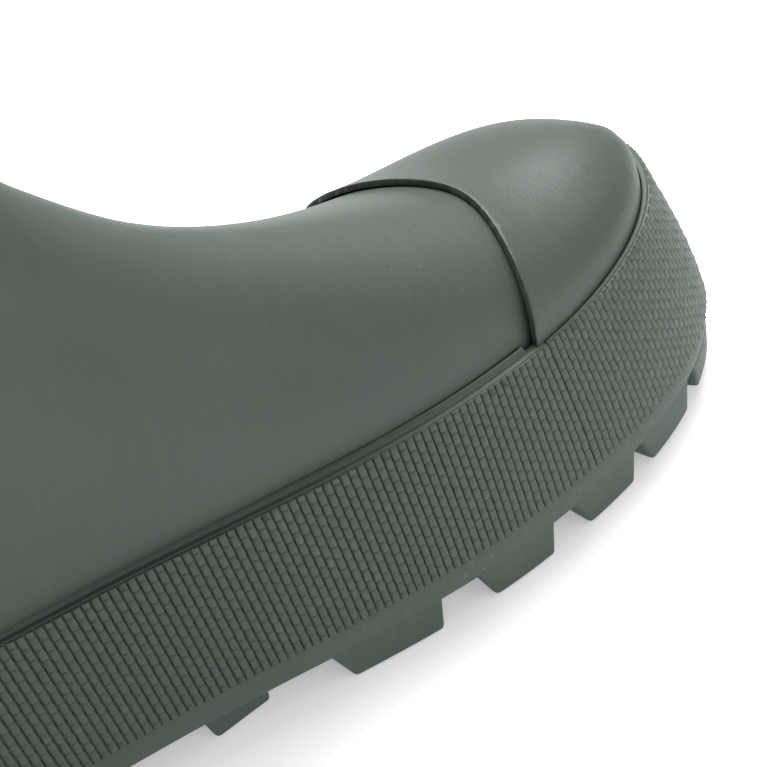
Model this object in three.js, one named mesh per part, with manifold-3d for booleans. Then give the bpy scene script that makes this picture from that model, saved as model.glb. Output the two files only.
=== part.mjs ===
// A knee-height rubber rain boot for the left foot, built up in layers on a last:
// textile lining, stiffeners and insole board, rubber upper, foxing, and a lugged sole.
//
// x runs forward from the back of the heel to the toe, y to the wearer's left (the
// outer side of this foot) and z up from the ground. Lengths are millimetres.

import * as THREE from 'three';
import { mergeVertices } from 'three/addons/utils/BufferGeometryUtils.js';
import Module from 'manifold-3d';

const wasm = await Module();
wasm.setup();

const { lerp, clamp, smoothstep } = THREE.MathUtils;

// ---------------------------------------------------------------- driving dimensions

const BOOT_HEIGHT = 390;
const CLEARANCE = 0.3; // air between pieces that touch

// Sole outline, as half widths of each side
const SOLE_LENGTH = 307;
const TREAD_X = SOLE_LENGTH - 95; // widest place of the forefoot, from the toe tip
const HEEL_X = 46; // widest place of the heel
const TOE_ROUND = 2.45;
const HEEL_ROUND = 2.3;
const TOE_SWING = 4; // how far the toe tip leans to the outer side
const SIDES = {
  medial: { sign: -1, tread: 52.5, waist: 35.5, waistX: 96, heel: 37.5 },
  lateral: { sign: 1, tread: 53.8, waist: 43, waistX: 137, heel: 40 },
};

// Sole heights
const LUG_DEPTH = 8.7;
const SOLE_TOP = 15.5;
const BAND_TOP = 49.4;
const BAND_TOE_RISE = 6.6;
const TOE_SPRING = 4; // how far the tread curls up at the toe tip
const HEEL_PITCH = 7; // how far the heel seat stands above the forefoot
const PITCH_BACK_X = 30; // the seat is level behind this
const PITCH_FRONT_X = 125; // and the forefoot is level in front of this
const HEEL_BREAST_X = 84;

// Foxing, the rubber band round the foot
const BAND_LEAN = 6; // how far its top edge stands inside its bottom edge
const BAND_TOE_LEAN = 13.8;
const BAND_EDGE = 1.4; // thickness left at its top edge
const BAND_FOOT = 7; // thickness at its bottom edge
const GUM_STRIP_SHOWS = 1.2;

// Upper
const CAP_X = SOLE_LENGTH - 80.5; // where the toe cap's seam meets the foxing
const CAP_CROWN = 12.8; // how far the seam bows forward over the ridge
const CAP_RIDGE = 73.2; // ridge height above the seam
const RIDGE_SLOPE = 0.25;
const RIDGE_ROUND = 2.7;
const TOE_FULLNESS = 13; // how much the ridge is lifted towards the toe tip
const RIDGE_SHIFT = -11; // the ridge runs over the big toe
const SHIN_X = 120.2; // the shin line's limit, high up the leg
const INSTEP_BEND = 1150; // a bigger value fills the instep's hollow
const VAMP_ROUND = 1.6;
const LEG_ROUND = 2.1;
const ANKLE_Z = 150;
const ANKLE_HALF = 42;
const CALF_Z = 330;
const CALF_HALF = 55;
const BACK_ANKLE_X = 18;
const BACK_TOP_X = -6;
const HEEL_CORNER = 8; // radius under the back of the heel
const FAN_X = 150; // in front of this the foot is measured in upright sections
const FAN_Z = 190; // above this the leg is measured in level sections
const VAMP_TOP_Z = 204;

// Layer thicknesses
const RUBBER = 1.7;
const STIFFENER = 1.2;
const LINING = 1;
const CAP_RUBBER = 1.7;
const OVERLAY = 1.5;
const BINDING_RUBBER = 1.4;
const GUM_STRIP = 0.7;
const FOOTBED = { foam: 4.5, cover: 1 };

// Hidden margins, and the room that loose pieces have
const LASTING_MARGIN = 14;
const CAP_TUCK = 6;
const GUM_STRIP_TUCK = 5;
const BOARD_PLAY = 1.6;
const FOOTBED_PLAY = 3.7;
const TOE_PLAY = 3.2;
const SHANK = { from: 62, to: 150, width: 15, y: 2 };

// Edges of the overlays and stiffeners
const HEEL_CAP = { front: 76, topFront: 62, height: 112, sideHeight: 16 };
const ANKLE_BAND_WIDTH = 22;
const BACK_STRIP_WIDTH = 20;
const BINDING_WIDTH = 24;
const BINDING_STEP = 8; // the inside of the binding is this much shorter
const BINDING_GAP = 1.8; // from the top of the boot down to the leg's edge
const SPUR = { z: 88, width: 34, height: 12, reach: 6, skirt: 0.8 };
const TOE_PUFF_BACK = CAP_X + 9.5;
const COUNTER = { front: 92, height: 104 };
const FOXING_JOIN_X = CAP_X + 3.5;
const HEEL_FOXING_X = 66;

// Tread. Lugs of the forefoot are placed by their distances from the toe tip, and a side lug
// is given by its back and front edges.
const LUG_DRAFT = 4.5; // how far a lug's back face leans
const LUG_REACH = 24;
const LUG_OVERHANG = 6; // cut away flush with the sole's edge
const LUG_ROOT = 2; // how far a lug runs up into the sole
const fromToe = (edges) => edges.map((distance) => SOLE_LENGTH - distance);
const SIDE_LUGS = [[144, 122], [108, 91], [80, 65], [57, 41]].map(fromToe);
const HEEL_SIDE_LUGS = [[60, 79]];
const WAIST_BAR = { from: HEEL_BREAST_X + 49, to: HEEL_BREAST_X + 63, inset: 4 };
const CENTRE_BARS = fromToe([149, 118, 86, 57]);
const CENTRE_BAR = { length: 12, half: 20, skew: 20 };
const BAR_OVERLAP = 2;
const TOE_LUGS = {
  centreX: SOLE_LENGTH - 65,
  innerRadius: 34,
  outerRadius: 76,
  facing: 0,
  angles: [-38, -13, 13, 38],
  width: 15,
};
const HEEL_LUGS = {
  centreX: 46, innerRadius: 18, outerRadius: 56, facing: Math.PI, angles: [-66, -22, 22, 66], width: 19,
};

// How finely curves are divided
const HEEL_STEPS = 6;
const WAIST_STEPS = 11;
const TOE_STEPS = 8;
const LEG_ROWS = 7;
const CAP_ROWS = 8;
const CAP_COLUMNS = 16;
const TURN_STEPS = 24; // round the foot and leg
const SOLE_TURNS = 3; // of these, on each side of the middle of the sole
const TOE_START = 3; // the first section's distance from the toe tip
const FIRST_STRIDE = 3.2;
const STRIDE_GROWTH = 1.25;
const LONGEST_STRIDE = 18;
const SEAT_ROWS = 7;
const CORNER_ROWS = 5;
const BACK_ROWS = 5;
const SHANK_ROWS = 8;

// ---------------------------------------------------------------- small shared maths

const roundOff = (share, power) => Math.max(0, 1 - share ** power) ** (1 / power);

// Smooth steps between [position, value] knots
function ease(knots, position) {
  for (let i = 1; i < knots.length; i += 1) {
    if (position <= knots[i][0]) {
      const step = smoothstep(position, knots[i - 1][0], knots[i][0]);
      return lerp(knots[i - 1][1], knots[i][1], step);
    }
  }
  return knots[knots.length - 1][1];
}

// The heel seat stands higher than the forefoot; the rise fades out up the leg.
function pitched(x, z) {
  const rise = HEEL_PITCH * (1 - smoothstep(x, PITCH_BACK_X, PITCH_FRONT_X));
  return z + rise * (1 - smoothstep(z, BAND_TOP, VAMP_TOP_Z));
}

const pitchedPoint = (x, y, z) => new THREE.Vector3(x, y, pitched(x, z));

// ---------------------------------------------------------------- sole outline

const SOLE_EDGE = { side: 0, toe: 0, heel: 0 };
const BAND_TOP_EDGE = { side: BAND_LEAN, toe: BAND_TOE_LEAN, heel: BAND_LEAN };

function inward(edge, distance) {
  return { side: edge.side + distance, toe: edge.toe + distance, heel: edge.heel + distance };
}

const OUTER_LAYERS = CLEARANCE + GUM_STRIP + CLEARANCE;
const CAP_LAYERS = CLEARANCE + CAP_RUBBER + CLEARANCE;
const UPPER_TOP_EDGE = {
  side: BAND_LEAN + BAND_EDGE + OUTER_LAYERS,
  toe: BAND_TOE_LEAN + BAND_EDGE + CAP_LAYERS,
  heel: BAND_LEAN + BAND_EDGE + OUTER_LAYERS,
};
const UPPER_TOE_X = SOLE_LENGTH - UPPER_TOP_EDGE.toe;
const UPPER_BOTTOM = SOLE_TOP + CLEARANCE;

function upperInset(z) {
  const climb = clamp((z - UPPER_BOTTOM) / (BAND_TOP - UPPER_BOTTOM), 0, 1);
  return lerp(BAND_FOOT, UPPER_TOP_EDGE.side, climb);
}

function soleEdge(side, x) {
  if (x > side.waistX) {
    return lerp(side.waist, side.tread, smoothstep(x, side.waistX, TREAD_X));
  }
  return lerp(side.heel, side.waist, smoothstep(x, HEEL_X, side.waistX));
}

function toeShare(x, toeInset) {
  return clamp((x - TREAD_X) / (SOLE_LENGTH - toeInset - TREAD_X), 0, 1);
}

// One side's y at x, for an outline set inside the sole's edge
function outlineY(side, x, edge) {
  const toe = toeShare(x, edge.toe);
  const heel = clamp((HEEL_X - x) / (HEEL_X - edge.heel), 0, 1);
  const half = (soleEdge(side, x) - edge.side) * roundOff(toe, TOE_ROUND) * roundOff(heel, HEEL_ROUND);
  return side.sign * half + TOE_SWING * toe ** 2;
}

// The x of every outline point from the heel's back to the toe tip
function outlineStations(edge) {
  const stations = [];
  for (let i = 0; i < HEEL_STEPS; i += 1) {
    const reach = Math.cos((Math.PI / 2) * (i / HEEL_STEPS)) ** (2 / HEEL_ROUND);
    stations.push(HEEL_X - (HEEL_X - edge.heel) * reach);
  }
  for (let i = 0; i < WAIST_STEPS; i += 1) {
    stations.push(lerp(HEEL_X, TREAD_X, i / WAIST_STEPS));
  }
  for (let i = 0; i <= TOE_STEPS; i += 1) {
    const reach = Math.sin((Math.PI / 2) * (i / TOE_STEPS)) ** (2 / TOE_ROUND);
    stations.push(TREAD_X + (SOLE_LENGTH - edge.toe - TREAD_X) * reach);
  }
  return stations;
}

// ---------------------------------------------------------------- meshes and booleans

function signedVolume(position, corners) {
  const a = new THREE.Vector3();
  const b = new THREE.Vector3();
  const c = new THREE.Vector3();
  let volume = 0;
  for (let i = 0; i < corners.length; i += 3) {
    a.fromBufferAttribute(position, corners[i]);
    b.fromBufferAttribute(position, corners[i + 1]);
    c.fromBufferAttribute(position, corners[i + 2]);
    volume += a.dot(b.cross(c)) / 6;
  }
  return volume;
}

// A closed surface with its faces turned outwards
function meshFrom(vertices, triangles) {
  const geometry = new THREE.BufferGeometry();
  const position = new THREE.Float32BufferAttribute(vertices, 3);
  const corners = [...triangles];
  if (signedVolume(position, corners) < 0) {
    for (let i = 0; i < corners.length; i += 3) {
      [corners[i + 1], corners[i + 2]] = [corners[i + 2], corners[i + 1]];
    }
  }
  geometry.setAttribute('position', position);
  geometry.setIndex(corners);
  return geometry;
}

function solid(geometry) {
  return new wasm.Manifold(new wasm.Mesh({
    numProp: 3,
    vertProperties: Float32Array.from(geometry.getAttribute('position').array),
    triVerts: Uint32Array.from(geometry.index.array),
  }));
}

function geometryOf(body) {
  const mesh = body.getMesh();
  return meshFrom(mesh.vertProperties, mesh.triVerts);
}

// A three.js geometry as a solid, with the vertices that its faces share joined
function solidOf(geometry) {
  const bare = geometry.clone();
  bare.deleteAttribute('normal');
  bare.deleteAttribute('uv');
  const joined = mergeVertices(bare);
  return solid(meshFrom(joined.getAttribute('position').array, joined.index.array));
}

function box(low, high) {
  const size = new THREE.Vector3().subVectors(high, low);
  const geometry = new THREE.BoxGeometry(size.x, size.y, size.z);
  geometry.translate(low.x + size.x / 2, low.y + size.y / 2, low.z + size.z / 2);
  return solidOf(geometry);
}

// The space of the boot between two values of x
function slice(fromX, toX) {
  const far = 2 * BOOT_HEIGHT;
  return box(new THREE.Vector3(fromX, -far, -far), new THREE.Vector3(toX, far, far));
}

// Collects grids of points, and the faces between them
function faceBuilder() {
  const vertices = [];
  const triangles = [];
  const quad = (a, b, c, d) => triangles.push(a, b, c, a, c, d);
  return {
    quad,
    grid(points) {
      const base = vertices.length / 3;
      const width = points[0].length;
      points.forEach((row) => row.forEach((point) => vertices.push(point.x, point.y, point.z)));
      return (row, column) => base + row * width + (column % width);
    },
    sheet(at, rows, columns, turned) {
      for (let row = 0; row < rows; row += 1) {
        for (let column = 0; column < columns; column += 1) {
          const near = at(row, column + 1);
          const far = at(row + 1, column);
          const [second, fourth] = turned ? [far, near] : [near, far];
          quad(at(row, column), second, at(row + 1, column + 1), fourth);
        }
      }
    },
    // Closes a row by joining each column to the one across from it. The columns up to
    // straight, on both sides of column 0, are in line and are joined to one column beyond.
    cap(at, row, across, steps, turned, straight = 0) {
      const start = straight ? straight + 1 : 0;
      const faces = [];
      for (let column = 0; column < straight; column += 1) {
        faces.push([column, column + 1, start], [across(column + 1), across(column), start]);
      }
      if (straight) faces.push([across(start), across(straight), start]);
      for (let column = start; column < steps; column += 1) {
        const ahead = across(column + 1);
        faces.push([column, column + 1, ahead], [column, ahead, across(column)]);
      }
      faces.filter((corners) => new Set(corners).size === 3).forEach((corners) => {
        const ids = corners.map((corner) => at(row, corner));
        triangles.push(...(turned ? ids.reverse() : ids));
      });
    },
    geometry: () => meshFrom(vertices, triangles),
  };
}

// A closed body through rings of points that are alike. Column 0 of a ring is its middle
// on one side, and half way round is its middle on the other.
function closedTube(rings, straight = 0) {
  const build = faceBuilder();
  const at = build.grid(rings);
  const width = rings[0].length;
  const across = (column) => (width - column) % width;
  build.sheet(at, rings.length - 1, width, false);
  build.cap(at, 0, across, width / 2, true, straight);
  build.cap(at, rings.length - 1, across, width / 2, false);
  return build.geometry();
}

// ---------------------------------------------------------------- stacked outlines

// A closed body between levels of the sole outline, from the lowest up. A level's edge
// says how far it is set inside the sole, and its height follows the heel's pitch
// unless it is level, with a rise towards the toe tip.
function stack(levels) {
  return closedTube(levels.map(({ edge, z, rise = 0, level = false }) => {
    const stations = outlineStations(edge);
    const point = (side, x) => {
      const height = z + rise * toeShare(x, edge.toe) ** 2;
      return new THREE.Vector3(x, outlineY(side, x, edge), level ? height : pitched(x, height));
    };
    const medial = stations.map((x) => point(SIDES.medial, x));
    const lateral = stations.slice(1, -1).map((x) => point(SIDES.lateral, x));
    return [...medial, ...lateral.reverse()];
  }));
}

// ---------------------------------------------------------------- the upper's surface

const toeOfBand = (x) => BAND_TOP + BAND_TOE_RISE * toeShare(x, BAND_TOE_LEAN) ** 2;

// The ridge line along the top of the foot, which runs on up the shin
function ridgeHeight(x) {
  const bend = 1 / Math.max(x - SHIN_X, 1) - 1 / (CAP_X - SHIN_X);
  const fullness = TOE_FULLNESS * smoothstep(x, CAP_X + CAP_CROWN, UPPER_TOE_X);
  const ridge = CAP_RIDGE + RIDGE_SLOPE * (CAP_X - x) + INSTEP_BEND * bend + fullness;
  const toe = clamp((x - CAP_X) / (UPPER_TOE_X - CAP_X), 0, 1);
  return toeOfBand(x) + (ridge - toeOfBand(x)) * roundOff(toe, RIDGE_ROUND);
}

const backX = (z) => ease([
  [UPPER_BOTTOM, BAND_FOOT],
  [BAND_TOP, UPPER_TOP_EDGE.heel],
  [BAND_TOP + 30, UPPER_TOP_EDGE.heel - 1],
  [ANKLE_Z, BACK_ANKLE_X],
  [BOOT_HEIGHT, BACK_TOP_X],
], z);

const legHalf = (z) => ease([[ANKLE_Z, ANKLE_HALF], [CALF_Z, CALF_HALF]], z);

// A polyline with its length measured, read by distance along it
function measuredLine(points) {
  const distance = [0];
  for (let i = 1; i < points.length; i += 1) {
    distance.push(distance[i - 1] + points[i].distanceTo(points[i - 1]));
  }
  const total = distance[distance.length - 1];
  const at = (length) => {
    const target = clamp(length, 0, total);
    let low = 0;
    let high = points.length - 1;
    while (high - low > 1) {
      const middle = (low + high) >> 1;
      if (distance[middle] <= target) low = middle;
      else high = middle;
    }
    const share = (target - distance[low]) / (distance[high] - distance[low]);
    return points[low].clone().lerp(points[high], share);
  };
  return { total, at, points };
}

const PROFILE_POINTS = 600;
const SPARE_HEIGHT = 20;

const frontLine = (() => {
  const nearest = INSTEP_BEND / (BOOT_HEIGHT + SPARE_HEIGHT - CAP_RIDGE);
  const points = [];
  for (let i = 0; i <= PROFILE_POINTS; i += 1) {
    const share = (1 + Math.cos((Math.PI * i) / PROFILE_POINTS)) / 2;
    const x = lerp(SHIN_X + nearest, UPPER_TOE_X, share);
    points.push(new THREE.Vector2(x, ridgeHeight(x)));
  }
  return measuredLine(points);
})();

const backLine = (() => {
  const points = [new THREE.Vector2(FAN_X, UPPER_BOTTOM)];
  const corner = new THREE.Vector2(BAND_FOOT + HEEL_CORNER, UPPER_BOTTOM + HEEL_CORNER);
  for (let i = 0; i <= 8; i += 1) {
    const angle = (Math.PI / 2) * (i / 8);
    points.push(new THREE.Vector2(
      corner.x - HEEL_CORNER * Math.sin(angle),
      corner.y - HEEL_CORNER * Math.cos(angle),
    ));
  }
  for (let z = corner.y + 2; z < FAN_Z; z += 2) {
    points.push(new THREE.Vector2(backX(z), z));
  }
  points.push(new THREE.Vector2(backX(FAN_Z), FAN_Z));
  return measuredLine(points);
})();

// Distance along the front line at a given x or z
function frontDistance(reached) {
  let low = 0;
  let high = frontLine.total;
  for (let i = 0; i < 40; i += 1) {
    const middle = (low + high) / 2;
    if (reached(frontLine.at(middle))) high = middle;
    else low = middle;
  }
  return (low + high) / 2;
}

const distanceAtX = (x) => frontDistance((point) => point.x <= x);
const distanceAtZ = (z) => frontDistance((point) => point.x < CAP_X && point.y >= z);

const FAN_START = distanceAtX(FAN_X);
const FAN_END = distanceAtZ(FAN_Z);

// A section's two ends in side view: on the front line, and on the sole or the back
function sectionEnds(distance) {
  const front = frontLine.at(distance);
  if (distance <= FAN_START) {
    return { front, back: new THREE.Vector2(front.x, UPPER_BOTTOM), fan: 0 };
  }
  if (distance >= FAN_END) {
    return { front, back: new THREE.Vector2(backX(front.y), front.y), fan: 1 };
  }
  const fan = (distance - FAN_START) / (FAN_END - FAN_START);
  return { front, back: backLine.at(fan * backLine.total), fan };
}

// Half width before the front is rounded off
function sideHalf(side, x, z) {
  const foot = soleEdge(side, x) - upperInset(z);
  const half = lerp(foot, legHalf(z), smoothstep(z, BAND_TOP, ANKLE_Z));
  const toe = toeShare(x, UPPER_TOP_EDGE.toe);
  const depth = lerp(HEEL_X - BAND_FOOT, (SHIN_X - BACK_TOP_X) / 2, smoothstep(z, BAND_TOP, ANKLE_Z));
  const heel = clamp(1 - (x - backX(z)) / depth, 0, 1);
  const heelRound = lerp(HEEL_ROUND, LEG_ROUND, smoothstep(z, BAND_TOP, ANKLE_Z));
  return half * roundOff(toe, TOE_ROUND) * roundOff(heel, heelRound);
}

// A point of one side of a section, at a share of the way from its back to its front.
// The top is rounded over at least the given depth.
function sectionPoint(side, ends, share, least) {
  const { front, back, fan } = ends;
  const at = back.clone().lerp(front, share);
  const length = front.distanceTo(back);
  const band = toeOfBand(at.x);
  const above = back.y >= band ? length : length * (front.y - band) / Math.max(front.y - back.y, 1e-6);
  const blend = smoothstep(fan, 0, 1);
  const depth = Math.max(above * lerp(1, 0.5, blend), least);
  const climb = clamp(1 - ((1 - share) * length) / depth, 0, 1);
  const rounding = roundOff(climb, lerp(VAMP_ROUND, LEG_ROUND, blend));
  const shift = RIDGE_SHIFT * (1 - blend) * climb + TOE_SWING * toeShare(at.x, UPPER_TOP_EDGE.toe) ** 2;
  const y = side.sign * sideHalf(side, at.x, at.y) * rounding + shift;
  return new THREE.Vector3(at.x, y, at.y);
}

const SECTION_POINTS = 48;
const SOLE_SHARE = (2 * SOLE_TURNS) / TURN_STEPS; // part of a half section under the foot
const FULL_SOLE = 18;
const halfSections = new Map();

// One half of a section, from the middle of the sole (or back) to the ridge (or shin)
function halfSection(side, distance, least) {
  const key = `${side.sign} ${distance.toFixed(4)} ${least}`;
  if (!halfSections.has(key)) {
    const ends = sectionEnds(distance);
    const wall = [];
    for (let i = 0; i <= SECTION_POINTS; i += 1) {
      wall.push(sectionPoint(side, ends, (1 - Math.cos((Math.PI * i) / SECTION_POINTS)) / 2, least));
    }
    const middle = wall[0].clone();
    middle.y = TOE_SWING * toeShare(middle.x, UPPER_TOP_EDGE.toe) ** 2;
    const sole = middle.distanceTo(wall[0]);
    const share = SOLE_SHARE * (ends.fan > 0 ? clamp(sole / FULL_SOLE, 0, 1) : 1);
    halfSections.set(key, { middle, wall: measuredLine(wall), share });
  }
  return halfSections.get(key);
}

// The upper's outer surface. distance runs up the front line from the toe tip; turn runs
// round from the middle of the sole over the medial side, the ridge and the lateral side.
function roundedSkin(distance, turn, least) {
  const wrapped = turn - Math.floor(turn);
  const side = wrapped <= 0.5 ? SIDES.medial : SIDES.lateral;
  const half = 1 - Math.abs(1 - 2 * wrapped);
  const { middle, wall, share } = halfSection(side, distance, least);
  const point = half < share
    ? middle.clone().lerp(wall.points[0], half / share)
    : wall.at(wall.total * (half - share) / (1 - share));
  return pitchedPoint(point.x, point.y, point.z);
}

const SHARPEST = 1e-6;
const skin = (distance, turn) => roundedSkin(distance, turn, SHARPEST);

// The turn at which a section reaches a height, on one side of the foot
function turnAtHeight(side, distance, z) {
  let low = 0;
  let high = 0.5;
  for (let i = 0; i < 30; i += 1) {
    const middle = (low + high) / 2;
    if (skin(distance, side.sign < 0 ? middle : 1 - middle).z >= z) high = middle;
    else low = middle;
  }
  const turn = (low + high) / 2;
  return side.sign < 0 ? turn : 1 - turn;
}

// The section distance whose side view passes through a point
function distanceThrough(x, z) {
  if (x >= FAN_X) return distanceAtX(x);
  if (z >= FAN_Z) return distanceAtZ(z);
  let low = FAN_START;
  let high = FAN_END;
  for (let i = 0; i < 36; i += 1) {
    const middle = (low + high) / 2;
    const { front, back } = sectionEnds(middle);
    const cross = (front.x - back.x) * (z - back.y) - (front.y - back.y) * (x - back.x);
    if (cross < 0) high = middle;
    else low = middle;
  }
  return (low + high) / 2;
}

// The upper's outer surface by x and z
function skinAt(side, x, z) {
  const ends = sectionEnds(distanceThrough(x, z));
  const run = ends.front.clone().sub(ends.back);
  const share = clamp(new THREE.Vector2(x, z).sub(ends.back).dot(run) / run.lengthSq(), 0, 1);
  const point = sectionPoint(side, ends, share, SHARPEST);
  return pitchedPoint(x, point.y, z);
}

// ---------------------------------------------------------------- layers on the surface

const evenly = (count, from = 0, to = 1) => (
  Array.from({ length: count + 1 }, (_, i) => lerp(from, to, i / count))
);

// The direction out of a surface, as long as a corner needs for its layer to keep its
// thickness on both sides of the corner
function outwardAt(surface, a, b, limits) {
  const step = 1e-3;
  const lowA = Math.max(a - step * limits.spanA, limits.fromA);
  const highA = Math.min(a + step * limits.spanA, limits.toA);
  const along = surface(highA, b).sub(surface(lowA, b));
  const centre = surface(a, b);
  const faces = [];
  if (limits.ring || b - step * limits.spanB >= limits.fromB) {
    faces.push(centre.clone().sub(surface(a, b - step * limits.spanB)).cross(along).normalize());
  }
  if (limits.ring || b + step * limits.spanB <= limits.toB) {
    faces.push(surface(a, b + step * limits.spanB).sub(centre).cross(along).normalize());
  }
  if (faces.length === 1) return faces[0];
  const [before, after] = faces;
  return before.clone().add(after).divideScalar(Math.max(1 + before.dot(after), 0.8));
}

// The grid of points that stand a given offset out of a surface
function offsetGrid(surface, rows, columns, offset, ring) {
  const limits = {
    fromA: rows[0],
    toA: rows[rows.length - 1],
    spanA: rows[rows.length - 1] - rows[0],
    fromB: columns[0],
    toB: columns[columns.length - 1],
    spanB: columns[columns.length - 1] - columns[0],
    ring,
  };
  const used = ring ? columns.slice(0, -1) : columns;
  return rows.map((a) => used.map((b) => {
    const height = typeof offset === 'function' ? offset(a, b) : offset;
    return surface(a, b).addScaledVector(outwardAt(surface, a, b, limits), height);
  }));
}

// A closed layer between two grids of points. A ring joins its last column to its first.
// A layer with a closed start has its first row drawn together, as at a toe.
function layerBetween(innerGrid, outerGrid, { ring = false, closedStart = false, straight = 0 } = {}) {
  const build = faceBuilder();
  const inside = build.grid(innerGrid);
  const outside = build.grid(outerGrid);
  const lastInner = innerGrid.length - 1;
  const lastRow = outerGrid.length - 1;
  const lastColumn = ring ? innerGrid[0].length : innerGrid[0].length - 1;
  build.sheet(outside, lastRow, lastColumn, false);
  build.sheet(inside, lastInner, lastColumn, true);
  const rim = (low, high, turned) => {
    for (let column = 0; column < lastColumn; column += 1) {
      const [from, to] = turned ? [column + 1, column] : [column, column + 1];
      build.quad(inside(low, from), inside(low, to), outside(high, to), outside(high, from));
    }
  };
  rim(lastInner, lastRow, true);
  if (closedStart) {
    const across = ring ? (column) => (lastColumn - column) % lastColumn : (column) => lastColumn - column;
    build.cap(outside, 0, across, Math.floor(lastColumn / 2), true, straight);
    build.cap(inside, 0, across, Math.floor(lastColumn / 2), false, straight);
    if (!ring) {
      build.quad(inside(0, 0), inside(0, lastColumn), outside(0, lastColumn), outside(0, 0));
    }
  } else {
    rim(0, 0, false);
  }
  if (!ring) {
    for (let row = 0; row < lastRow; row += 1) {
      const next = row + 1;
      build.quad(outside(row, 0), outside(next, 0), inside(next, 0), inside(row, 0));
      build.quad(
        inside(row, lastColumn),
        inside(next, lastColumn),
        outside(next, lastColumn),
        outside(row, lastColumn),
      );
    }
  }
  return build.geometry();
}

// A closed layer between two offsets of a surface
function layer(surface, rows, columns, [inner, outer], options = {}) {
  const gridAt = (offset) => offsetGrid(surface, rows, columns, offset, Boolean(options.ring));
  return layerBetween(gridAt(inner), gridAt(outer), options);
}

const TURNS = evenly(TURN_STEPS);

// Section distances up the forefoot, close together round the toe
const FOREFOOT_ROWS = (() => {
  const distances = [TOE_START];
  let stride = FIRST_STRIDE;
  let next = TOE_START + stride;
  while (next + stride < FAN_START) {
    distances.push(next);
    stride = Math.min(stride * STRIDE_GROWTH, LONGEST_STRIDE);
    next += stride;
  }
  return distances;
})();

// Section distances round the ankle, spaced by where the sections meet the sole and back
const ANKLE_ROWS = (() => {
  const seat = FAN_X - BAND_FOOT - HEEL_CORNER;
  const corner = seat + (Math.PI / 2) * HEEL_CORNER;
  const stops = [
    ...evenly(SEAT_ROWS, 0, seat),
    ...evenly(CORNER_ROWS, seat, corner).slice(1, -1),
    ...evenly(BACK_ROWS, corner, backLine.total),
  ];
  return stops.map((stop) => lerp(FAN_START, FAN_END, stop / backLine.total));
})();

const FOOT_ROWS = [...FOREFOOT_ROWS, ...ANKLE_ROWS];

const INNER_ROUNDING = 4; // an inner layer's top corner is this much rounder than it is deep

// Rings of the skin at an offset. Under the foot each ring is straight from edge to edge.
// An inner layer's rings start as far behind the toe tip as the layer lies inside it.
function skinRings(allRows, offset) {
  const depth = typeof offset === 'function' ? offset(TOE_START) : offset;
  const rows = depth < 0 ? allRows.filter((row) => frontLine.at(row).x < UPPER_TOE_X + depth) : allRows;
  const least = Math.max(SHARPEST, -depth * INNER_ROUNDING);
  const surface = (distance, turn) => roundedSkin(distance, turn, least);
  const rings = offsetGrid(surface, rows, TURNS, offset, true);
  rings.forEach((ring, row) => {
    if (halfSection(SIDES.medial, rows[row], least).share < SOLE_SHARE) return;
    const medial = ring[SOLE_TURNS];
    const lateral = ring[TURN_STEPS - SOLE_TURNS];
    for (let turn = 1 - SOLE_TURNS; turn < SOLE_TURNS; turn += 1) {
      const share = (turn + SOLE_TURNS) / (2 * SOLE_TURNS);
      ring[(turn + TURN_STEPS) % TURN_STEPS].lerpVectors(lateral, medial, share);
    }
  });
  return rings;
}

const sock = (topDistance, [inner, outer]) => {
  const rows = [...FOOT_ROWS, topDistance];
  const options = { ring: true, closedStart: true, straight: SOLE_TURNS };
  return layerBetween(skinRings(rows, inner), skinRings(rows, outer), options);
};

const tube = (from, to, count, offsets) => (
  layer(skin, evenly(count, from, to), TURNS, offsets, { ring: true })
);

// All the space inside an offset of the foot's surface
function footSpace(offset) {
  return solid(closedTube(skinRings([...FOOT_ROWS, distanceAtZ(VAMP_TOP_Z)], offset), SOLE_TURNS));
}

// A body without the slivers that a cut leaves beside it
function mainBody(body) {
  return body.decompose().reduce((main, part) => (part.volume() > main.volume() ? part : main));
}

// A layer of the foot's own sheet, cut to a region
function cutLayer([inner, outer], region) {
  return mainBody(footSpace(outer).subtract(footSpace(inner)).intersect(region));
}

// A region drawn in side view, as wide as the boot
function sideRegion(points) {
  const shape = new THREE.Shape(points.map(([x, z]) => new THREE.Vector2(x, z)));
  const width = 4 * SIDES.lateral.tread;
  const geometry = new THREE.ExtrudeGeometry(shape, { depth: width, bevelEnabled: false });
  geometry.rotateX(Math.PI / 2);
  geometry.translate(0, width / 2, 0);
  return solidOf(geometry);
}

// ---------------------------------------------------------------- sole unit

const HEEL_LUG_DEPTH = 6.5;
const NOTCH_RISE = 2.5;
const notchTop = { edge: SOLE_EDGE, z: LUG_DEPTH, rise: NOTCH_RISE };

// A lug, as seen from the side: its back face leans and its front face is nearly upright
function lug(length, reach, top) {
  const shape = new THREE.Shape([
    new THREE.Vector2(0, 0),
    new THREE.Vector2(length, 0),
    new THREE.Vector2(length + LUG_DRAFT / 3, top),
    new THREE.Vector2(-LUG_DRAFT, top),
  ]);
  const geometry = new THREE.ExtrudeGeometry(shape, { depth: reach, bevelEnabled: false });
  geometry.rotateX(Math.PI / 2);
  return geometry;
}

// Lugs along both edges, square to the edge where they stand
function sideLugs(edges, top) {
  const lugs = [];
  Object.values(SIDES).forEach((side) => {
    edges.forEach(([from, to]) => {
      const y = outlineY(side, from, SOLE_EDGE);
      const angle = Math.atan2(outlineY(side, to, SOLE_EDGE) - y, to - from);
      const geometry = lug(to - from, LUG_REACH, top);
      if (side.sign < 0) geometry.translate(0, LUG_REACH, 0);
      geometry.translate(0, side.sign * LUG_OVERHANG, 0);
      geometry.rotateZ(angle);
      geometry.translate(from, y, 0);
      lugs.push(solidOf(geometry));
    });
  });
  return lugs;
}

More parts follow.
